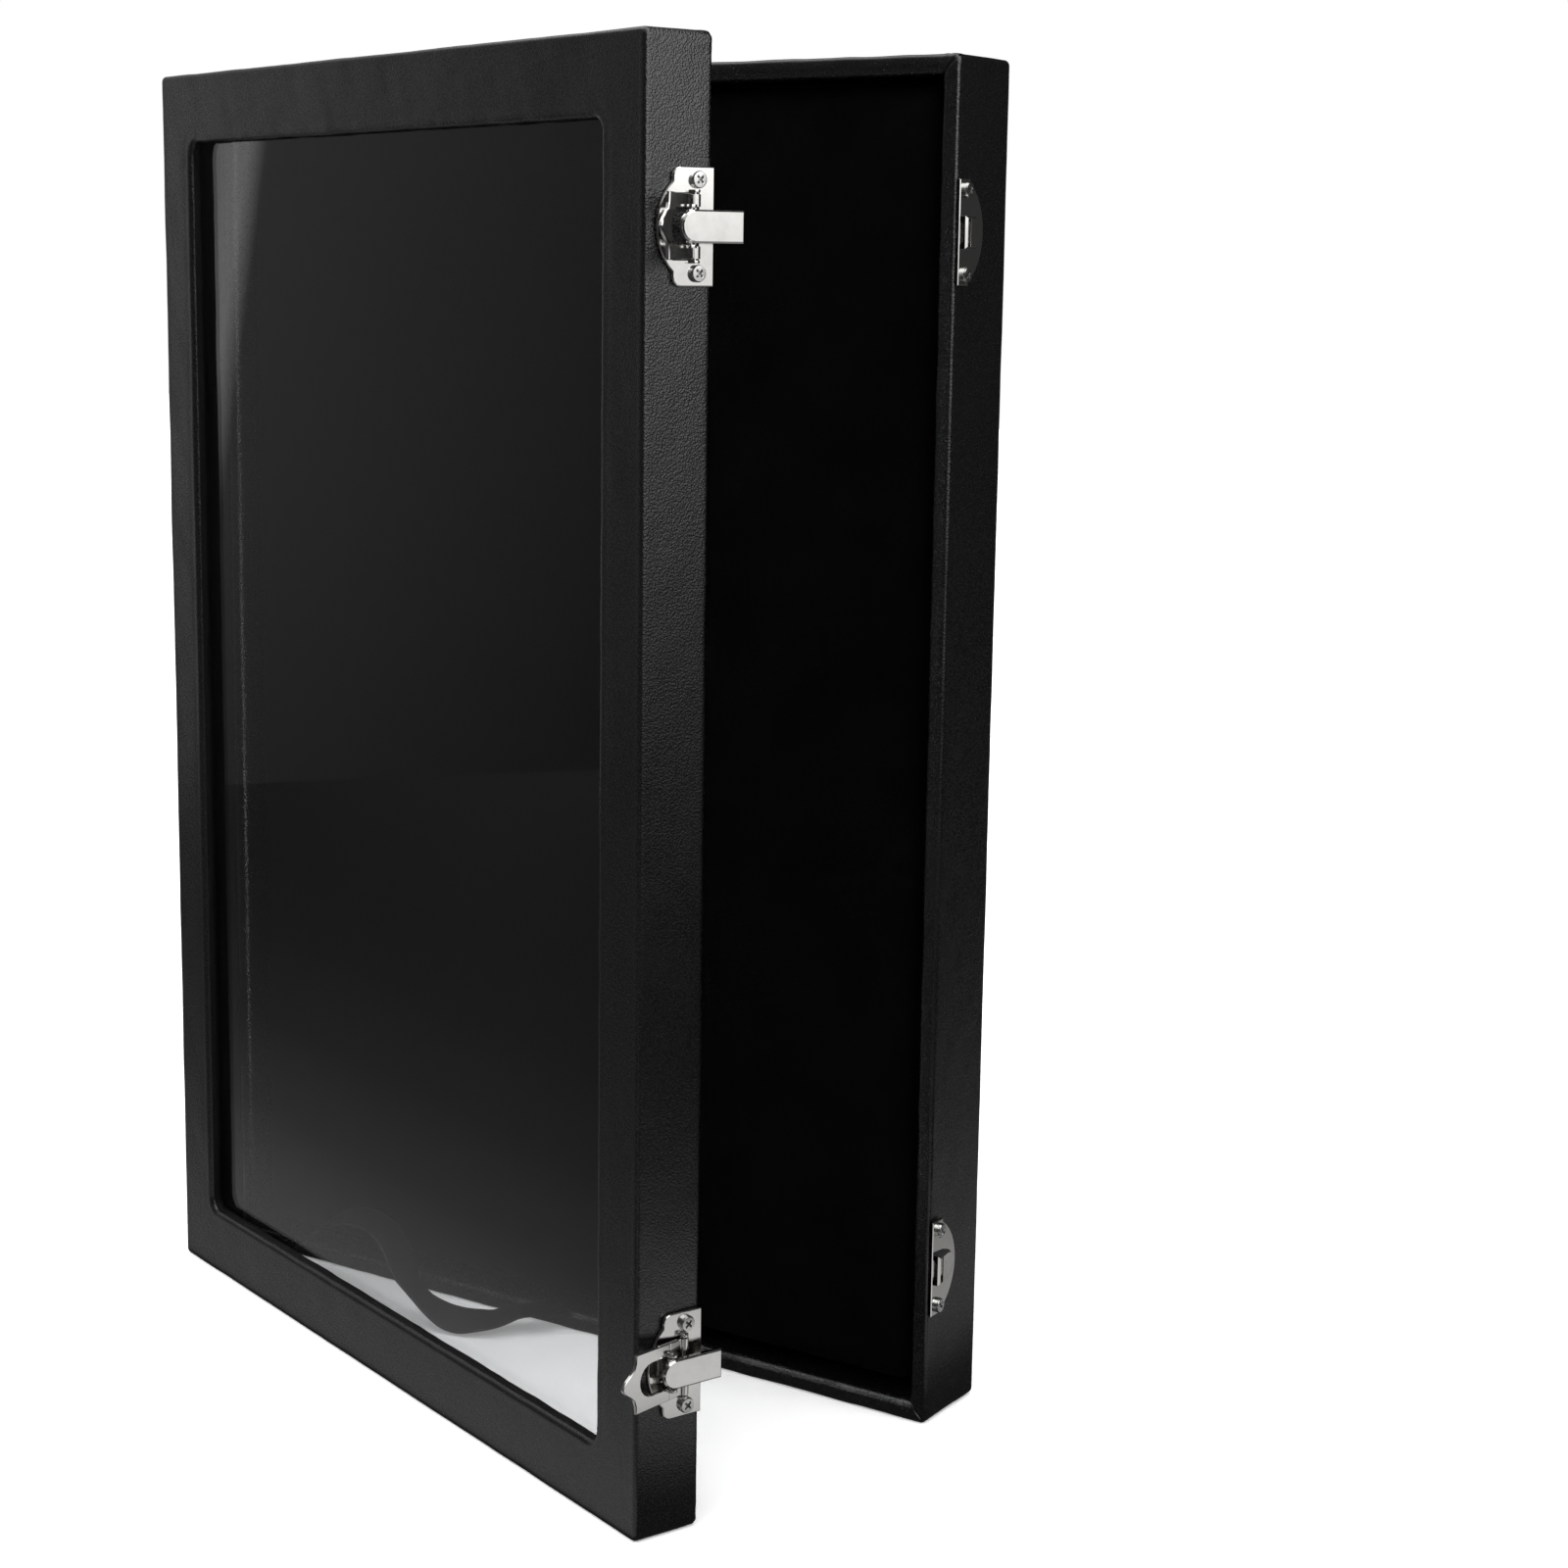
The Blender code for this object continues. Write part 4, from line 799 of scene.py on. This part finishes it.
def crowned(points):
    """The crown, the drawn edges and the soft unevenness of velvet over foam."""
    share_x = np.abs(points[:, 0]) / PAD_HALF_X
    share_z = np.abs(points[:, 2] - HALF_HEIGHT) / PAD_HALF_Z
    crown = ((1 - smooth_step(share_x, CROWN_START_SHARE_X, 1.0))
             * (1 - smooth_step(share_z, CROWN_START_SHARE_Z, 1.0)))
    facing = smooth_step(-points[:, 1], 0.0, DRAWN_DEPTH)
    points[:, 1] -= facing * (
        CROWN * crown + PAD_SLOW_WAVE * slow(points) + PAD_MIDDLE_WAVE * middling(points))
    points[:, 0] = np.clip(points[:, 0], -PAD_HALF_X, PAD_HALF_X)
    points[:, 2] = np.clip(points[:, 2], HALF_HEIGHT - PAD_HALF_Z, HALF_HEIGHT + PAD_HALF_Z)
    points[:, 1] = np.clip(points[:, 1], PAD_FOREMOST, PAD_BACK)
    return points


pad = pad_start()
pad.data.materials.append(VELVET)
remesh = pad.modifiers.new("remesh", "REMESH")
remesh.mode = "VOXEL"
remesh.voxel_size = VOXEL
apply_modifiers(pad)
pad_points = np.array([v.co for v in pad.data.vertices])
pad_points = swelled(pad, pad_points)
pad.data.vertices.foreach_set("co", crowned(pad_points).reshape(-1))
pad.data.update()
soften = pad.modifiers.new("soften", "SUBSURF")
soften.levels = soften.render_levels = 1
apply_modifiers(pad)
pad.data.polygons.foreach_set("use_smooth", [True] * len(pad.data.polygons))
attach(pad, "base")
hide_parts("velvet_pad", "pad_foam")


# Stay ribbon: the same route as the CAD strip, with a woven edge and a slight cup

RIBBON_WIDTH = 0.010
RIBBON_ACROSS = 13
RIBBON_SELVEDGE_SHARE = 0.85
RIBBON_HALF_THICK, SELVEDGE_HALF_THICK = 0.19 * MM, 0.24 * MM
RIBBON_CUP = 0.25 * MM
RIBBON_FLAT_ROWS = 12.0
ROUTE_STEP_SHARE = 0.1
# x, y, z in metres, and how far the strip leans from level, in right angles
RIBBON_ROUTE = (
    (0.00150, -0.01179, 0.00555, 0.00), (-0.00140, -0.01821, 0.00620, 0.00),
    (-0.00610, -0.02300, 0.00560, 0.00), (-0.00980, -0.02751, 0.00430, 0.08),
    (-0.01331, -0.03029, 0.00380, 0.18), (-0.01781, -0.03201, 0.00320, 0.26),
    (-0.02260, -0.03259, 0.00360, 0.20), (-0.02759, -0.03299, 0.00540, 0.02),
    (-0.03279, -0.03299, 0.00800, -0.16), (-0.03739, -0.03241, 0.01120, -0.20),
    (-0.04119, -0.03119, 0.01570, -0.12), (-0.04550, -0.03000, 0.02040, 0.00),
    (-0.05201, -0.02920, 0.02400, 0.10), (-0.06101, -0.02899, 0.02460, 0.16),
    (-0.06950, -0.02939, 0.02140, 0.16), (-0.07650, -0.03000, 0.01600, 0.10),
    (-0.08349, -0.02960, 0.01080, 0.04), (-0.09099, -0.02820, 0.00740, 0.00),
    (-0.09849, -0.02621, 0.00555, 0.00), (-0.10551, -0.02380, 0.00555, 0.00),
)


def ribbon_rows():
    """The route as a smooth curve through its points: x, y, z and the lean in radians."""
    knots = [np.array((x, y, z, lean * RIGHT_ANGLE)) for x, y, z, lean in RIBBON_ROUTE]
    knots = [2 * knots[0] - knots[1]] + knots + [2 * knots[-1] - knots[-2]]
    rows = []
    for a, b, c, d in zip(knots, knots[1:], knots[2:], knots[3:]):
        for t in np.arange(0, 1, ROUTE_STEP_SHARE):
            curve = 2 * b + (c - a) * t + (2 * a - 5 * b + 4 * c - d) * t ** 2
            rows.append((curve + (3 * b - a - 3 * c + d) * t ** 3) / 2)
    rows.append(knots[-2])
    return np.array(rows)


def ribbon_piece(rows):
    """A thin closed strip along the rows, with thicker woven edges and a little cup."""
    across = np.linspace(-1, 1, RIBBON_ACROSS)
    selvedge = np.abs(across) > RIBBON_SELVEDGE_SHARE
    thick = np.where(selvedge, SELVEDGE_HALF_THICK, RIBBON_HALF_THICK)
    cup = RIBBON_CUP * (across ** 2)
    vertices = []
    for index, row in enumerate(rows):
        along = unit(rows[min(index + 1, len(rows) - 1)][:3] - rows[max(index - 1, 0)][:3])
        level = unit(np.cross(along, (0, 0, 1)))
        wide = level * math.cos(row[3]) + np.array((0, 0, 1)) * math.sin(row[3])
        wide = unit(wide - along * wide.dot(along))
        normal = np.cross(along, wide)
        from_end = min(index, len(rows) - 1 - index) / RIBBON_FLAT_ROWS
        lift = cup * min(1.0, from_end)
        line = row[:3] + np.outer(across, wide) * RIBBON_WIDTH / 2
        top = line + np.outer(lift + thick, normal)
        low = line + np.outer(lift - thick, normal)
        vertices.append(np.concatenate((top, low[::-1])))
    count = len(vertices[0])
    faces = tube_faces(len(vertices) - 1, count)
    last = (len(vertices) - 1) * count
    faces.append(tuple(range(count)))
    faces.append(tuple(reversed(range(last, last + count))))
    piece = new_object("satin_stay_ribbon", np.concatenate(vertices), faces, RIBBON)
    face_outwards(piece)
    return piece


ribbon = ribbon_piece(ribbon_rows())
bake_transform(ribbon)
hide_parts("stay_ribbon")


# Pan head screws of the latch plates and keepers, with a cross recess

RING_SHARES = (
    0.0, 0.05, 0.10, 0.15, 0.20, 0.25, 0.30, 0.35, 0.40, 0.45, 0.50, 0.55, 0.60, 0.66, 0.72, 0.78,
    0.84, 0.89, 0.93, 0.96, 0.985, 1.0)
RING_POINTS = 72
HEAD_HEIGHT = 0.0009
HEAD_RADIUS_SHARE = 1.08
HEAD_CROWN = 0.07 * MM
HEAD_RIM_DROP, HEAD_RIM_SHARE = 0.55 * MM, 0.86
HEAD_SIDE = 1.25 * MM
RECESS_DEPTH = 1.1 * MM
RECESS_HALF_SHARES = (0.09, 0.13)
RECESS_END_SHARES = (0.50, 0.56)
POINT_GAP = 0.000001


def pan_head(name, cad_name, body, outward):
    """A low head with a rounded rim, set where the CAD screw's head is."""
    cad = nodes[cad_name]
    points = np.array([cad.matrix_world @ v.co for v in cad.data.vertices])
    outward = unit(np.array(outward))
    level = np.array((-outward[1], outward[0], 0.0))
    upward = np.array((0.0, 0.0, 1.0))
    height = points @ outward
    top, low = height.max(), height.min()
    head = points[height > top - HEAD_HEIGHT]
    middle_level = (head @ level).max() / 2 + (head @ level).min() / 2
    middle_up = head[:, 2].max() / 2 + head[:, 2].min() / 2
    radius = (head[:, 2].max() - head[:, 2].min()) / 2 * HEAD_RADIUS_SHARE
    angles = np.arange(RING_POINTS) * (2 * math.pi / RING_POINTS)
    recess_inner, recess_outer = (share * radius for share in RECESS_HALF_SHARES)
    vertices = []
    for share in RING_SHARES:
        across = share * radius * np.cos(angles)
        raised = share * radius * np.sin(angles)
        crown = HEAD_CROWN * share ** 2 + HEAD_RIM_DROP * smooth_step(share, HEAD_RIM_SHARE, 1.0) ** 2
        arm_a = np.abs(across + raised) / math.sqrt(2)
        arm_b = np.abs(across - raised) / math.sqrt(2)
        recess = 1 - smooth_step(np.minimum(arm_a, arm_b), recess_inner, recess_outer)
        recess = recess * (1 - smooth_step(share, *RECESS_END_SHARES))
        out = top - crown - recess * RECESS_DEPTH * (1 - 0.5 * share)
        vertices += [outward * o + level * (middle_level + a) + upward * (middle_up + r)
                     for o, a, r in zip(out, across, raised)]
    foot = max(low, top - HEAD_SIDE)
    vertices += [outward * foot + level * (middle_level + radius * math.cos(a))
                 + upward * (middle_up + radius * math.sin(a)) for a in angles]
    faces = tube_faces(len(RING_SHARES), RING_POINTS)
    last = len(RING_SHARES) * RING_POINTS
    faces.append(tuple(range(last, last + RING_POINTS)))
    piece = new_object(name, vertices, faces, STEEL)
    face_outwards(piece, POINT_GAP)
    shading = piece.modifiers.new("shade_by_angle", "NODES")
    shading.node_group = shade_group
    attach(piece, body)
    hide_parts(cad_name)


lid_out = (math.cos(LID_TURN), math.sin(LID_TURN), 0.0)
for number in range(1, 5):
    pan_head("plate_screw_head_%d" % number, "latch_plate_screw_%d" % number, "lid", lid_out)
    pan_head("keeper_screw_head_%d" % number, "keeper_screw_%d" % number, "base", (1.0, 0.0, 0.0))


# Camera at the photograph's place

PHOTO_PIXELS = 1600
PHOTO_CENTRE = (700.4, 772.6)
CAMERA_PLACE = (0.4628, -0.6129 + RIM_Y, 0.3003)
yaw, pitch, roll = math.radians(-34.39), math.radians(9.996), math.radians(0.566)

forward = Vector((math.sin(yaw) * math.cos(pitch), math.cos(yaw) * math.cos(pitch), -math.sin(pitch)))
right = Vector((math.cos(yaw), -math.sin(yaw), 0.0))
up = right.cross(forward)
right_rolled = math.cos(roll) * right + math.sin(roll) * up
up_rolled = math.cos(roll) * up - math.sin(roll) * right
camera_data = bpy.data.cameras.new("camera")
camera_data.sensor_width = 36.0
camera_data.lens = 64.79
camera_data.shift_x = (PHOTO_PIXELS / 2 - PHOTO_CENTRE[0]) / PHOTO_PIXELS
camera_data.shift_y = -(PHOTO_PIXELS / 2 - PHOTO_CENTRE[1]) / PHOTO_PIXELS
camera_data.clip_start = 0.01
camera = bpy.data.objects.new("camera", camera_data)
camera_turn = Matrix((right_rolled, up_rolled, -forward)).transposed().to_4x4()
camera.matrix_world = Matrix.Translation(CAMERA_PLACE) @ camera_turn
bpy.context.scene.collection.objects.link(camera)
bpy.context.scene.camera = camera


# Pale floor

def level_corners(x_low, x_high, y_low, y_high, z):
    return (x_low, y_low, z), (x_high, y_low, z), (x_high, y_high, z), (x_low, y_high, z)


def upright_corners(first, last, height):
    """Corners of an upright sheet that stands on the line between two places (x, y)."""
    return (*first, 0.0), (*last, 0.0), (*last, height), (*first, height)


def stage_plane(name, corners, material):
    piece = new_object(name, corners, [(0, 1, 2, 3)], material, smooth=False)
    return piece


def floor_material():
    t = Tree("pale_floor")
    grain = t.noise(60.0, detail=4.0)
    colour = t.ramp(grain, (0.3, (0.90, 0.90, 0.90)), (0.7, (0.94, 0.94, 0.94)))
    t.shader(Base_Color=colour, Roughness=t.span(grain, (0.3, 0.7), (0.75, 0.9)), Specular_IOR_Level=0.1,
             Emission_Color=(1.0, 1.0, 1.0, 1.0), Emission_Strength=0.22)
    return t.material


FLOOR_REACH = 4
FLOOR_DROP = 0.0002
floor = stage_plane("floor", level_corners(-FLOOR_REACH, FLOOR_REACH, -FLOOR_REACH, FLOOR_REACH, 0),
                    floor_material())
floor.location.z = -FLOOR_DROP
floor.visible_glossy = False


# Cards that only reflections see. Each one's light changes along an axis or a level direction.

STUDIO_LEFT, STUDIO_RIGHT, STUDIO_NEAR, STUDIO_FAR, STUDIO_HEIGHT = -0.9, 1.4, -2.0, 1.6, 1.6
LEFT_FLOOR_END, RIGHT_FLOOR_START = 0.118, 0.145
RIGHT_CARD_FOOT = (0.40, -0.40), (0.40, 0.02)
FLAG_FOOT = (0.107, -0.0965), (0.1195, -0.0145)
EDGE_CARD_FOOT = (0.80, -0.66), (0.95, -0.36)
CARD_HEIGHT, FLAG_HEIGHT, EDGE_CARD_HEIGHT = 0.80, 0.40, 1.0
BRIGHT = 2.15


def level_place(t, direction):
    """How far a place lies along a level direction (x, y)."""
    axes = t.axes()
    return t.weighted(axes["X"], direction[0], axes["Y"], direction[1])


def weaker_to_the_right(t, strength):
    """Weaker where the right end of the window mirrors the card."""
    return t.scaled(strength, t.span(level_place(t, (0.359, -1.94)), (0.0, 0.22), (0.56, 0.70)))


def left_band(t, strength):
    """The brighter upright band that the window shows at its left edge."""
    axes = t.axes()
    strength = t.scaled(strength, t.span(axes["Y"], (-0.344, -0.124), (0.62, 1.0)))
    slant = t.maths("ADD", axes["Y"], t.maths("MULTIPLY", axes["Z"], 0.1486))
    band = t.maths("SUBTRACT", t.span(slant, (-0.0990, -0.0880), (0.0, 0.42)),
                   t.span(slant, (-0.0820, -0.0660), (0.0, 0.16)))
    return t.node("ShaderNodeMixRGB", {"Fac": 1.0, "Color1": strength, "Color2": band},
                  blend_type="ADD").outputs[0]


def glow(name, axis, stops, shade, gain):
    """Emission along an axis letter or a direction (x, y); stops are (metres, strength)."""
    t = Tree(name)
    place = t.axes()[axis] if isinstance(axis, str) else level_place(t, axis)
    low, high = stops[0][0], stops[-1][0]
    share = t.span(place, (low, high), (0.0, 1.0))
    strength = t.ramp(share, *[((metres - low) / (high - low), (value,) * 3) for metres, value in stops])
    if shade:
        strength = shade(t, strength)
    if gain != 1.0:
        strength = t.scaled(strength, gain)
    light = t.node("ShaderNodeEmission", {"Color": strength, "Strength": 1.0})
    # a ray that only passes through the window doesn't see the card
    mirrored = t.maths("MINIMUM", t.node("ShaderNodeLightPath").outputs["Glossy Depth"], 1.0)
    clear = t.node("ShaderNodeBsdfTransparent")
    t.surface(t.node("ShaderNodeMixShader", {0: mirrored, 1: clear.outputs[0], 2: light.outputs[0]}))
    return t.material


def card(name, corners, axis, stops, shade=None, gain=1.0, through=False):
    """A card for reflections; through is for one that the window's back surface mirrors too."""
    piece = stage_plane(name, corners, glow(name + "_glow", axis, stops, shade, gain))
    piece.visible_camera = False
    piece.visible_diffuse = False
    piece.visible_transmission = through
    piece.visible_shadow = False
    piece.visible_volume_scatter = False


# an upright and a level card on the left, which the window mirrors
card("left_card", upright_corners((STUDIO_LEFT, STUDIO_NEAR), (STUDIO_LEFT, STUDIO_FAR), STUDIO_HEIGHT), "Z",
     ((0.0, 0.07), (0.17, 0.108), (0.36, 0.135), (STUDIO_HEIGHT, 0.15)), shade=left_band, through=True)
card("left_floor_card",
     ((STUDIO_LEFT, STUDIO_NEAR, 0), (LEFT_FLOOR_END, STUDIO_NEAR, 0), (LEFT_FLOOR_END, -0.123, 0),
      (STUDIO_LEFT, 0.247, 0)),
     (-0.342, -0.94),
     ((0.06, 0.50), (0.085, 0.45), (0.11, 0.40), (0.155, 0.21), (0.21, 0.12), (0.28, 0.085),
      (0.35, 0.075), (0.43, 0.08), (0.63, 0.10)),
     shade=weaker_to_the_right, through=True)
# a level and an upright card on the right, which the sides of the base and the lid mirror
card("right_floor_card", level_corners(RIGHT_FLOOR_START, STUDIO_RIGHT, STUDIO_NEAR, STUDIO_FAR, 0), "X",
     ((RIGHT_FLOOR_START, 0.32), (0.19, 0.25), (0.24, 0.07), (0.32, 0.02), (0.47, 0.005), (0.60, 0.005),
      (STUDIO_RIGHT, 0.01)))
card("right_card", upright_corners(*RIGHT_CARD_FOOT, CARD_HEIGHT), "Z",
     ((0.0, 0.0), (0.08, 0.006), (0.13, 0.025), (0.17, 0.11), (0.21, 0.21), (0.24, 0.33), (0.28, 0.41),
      (0.31, 0.46), (0.36, 1.0), (CARD_HEIGHT, 1.0)), gain=BRIGHT)
# a dark sheet in the opening, which keeps the lit rim of the base out of the window
card("black_flag", upright_corners(*FLAG_FOOT, FLAG_HEIGHT), "Z",
     ((0.0, 0.0), (FLAG_HEIGHT, 0.004)), through=True)
# what the lower latch, the faces that look up and the rounded right edges mirror
card("latch_card", level_corners(0.165, 0.29, -0.115, -0.035, 0.001), "X",
     ((0.165, 0.50), (0.20, 0.68), (0.25, 0.56), (0.29, 0.30)))
card("top_card", level_corners(-0.60, 0.40, -0.90, 0.15, CARD_HEIGHT), "Y",
     ((-0.90, 0.15), (-0.35, 0.30), (-0.15, 0.9), (0.15, 1.0)), gain=BRIGHT)
card("edge_card", upright_corners(*EDGE_CARD_FOOT, EDGE_CARD_HEIGHT), "Z",
     ((0.0, 0.6), (0.25, 0.9), (0.55, 1.0), (EDGE_CARD_HEIGHT, 0.9)), gain=BRIGHT)


# Soft lights

sun_data = bpy.data.lights.new("soft_sky", "SUN")
sun_data.energy = 3.6
sun_data.angle = math.radians(100.0)
sun = bpy.data.objects.new("soft_sky", sun_data)
sun.rotation_euler = (math.radians(24.0), math.radians(-16.0), 0.0)
sun.visible_glossy = False
bpy.context.scene.collection.objects.link(sun)

KEY_PLACE = Vector((0.70, 0.06, 0.50))
KEY_TARGET = Vector((0.12, -0.10, 0.33))
key_data = bpy.data.lights.new("right_key", "AREA")
key_data.shape = "RECTANGLE"
key_data.size = key_data.size_y = 0.22
key_data.energy = 1.6
key = bpy.data.objects.new("right_key", key_data)
key.location = KEY_PLACE
key.rotation_euler = (KEY_TARGET - KEY_PLACE).to_track_quat("-Z", "Y").to_euler()
key.visible_glossy = False
key.visible_camera = False
bpy.context.scene.collection.objects.link(key)


def studio_world():
    """White for the camera and through the window, softer for diffuse light, dim in reflections."""
    world = bpy.data.worlds.new("studio")
    bpy.context.scene.world = world
    w = Nodes(world)
    rays = w.node("ShaderNodeLightPath").outputs
    straight = w.maths("SUBTRACT", rays["Is Transmission Ray"], rays["Glossy Depth"], use_clamp=True)
    seen = w.maths("MAXIMUM", rays["Is Camera Ray"], straight)
    mirrored = w.maths("MAXIMUM", rays["Is Glossy Ray"], rays["Glossy Depth"])
    strength = w.maths("MAXIMUM", seen, w.span(mirrored, (0.0, 1.0), (0.60, 0.035)))
    sky = w.node("ShaderNodeBackground", {"Color": (1.0, 1.0, 1.0, 1.0), "Strength": strength})
    w.tree.links.new(sky.outputs[0], w.node("ShaderNodeOutputWorld").inputs["Surface"])


studio_world()
bpy.context.scene.view_settings.view_transform = "Standard"
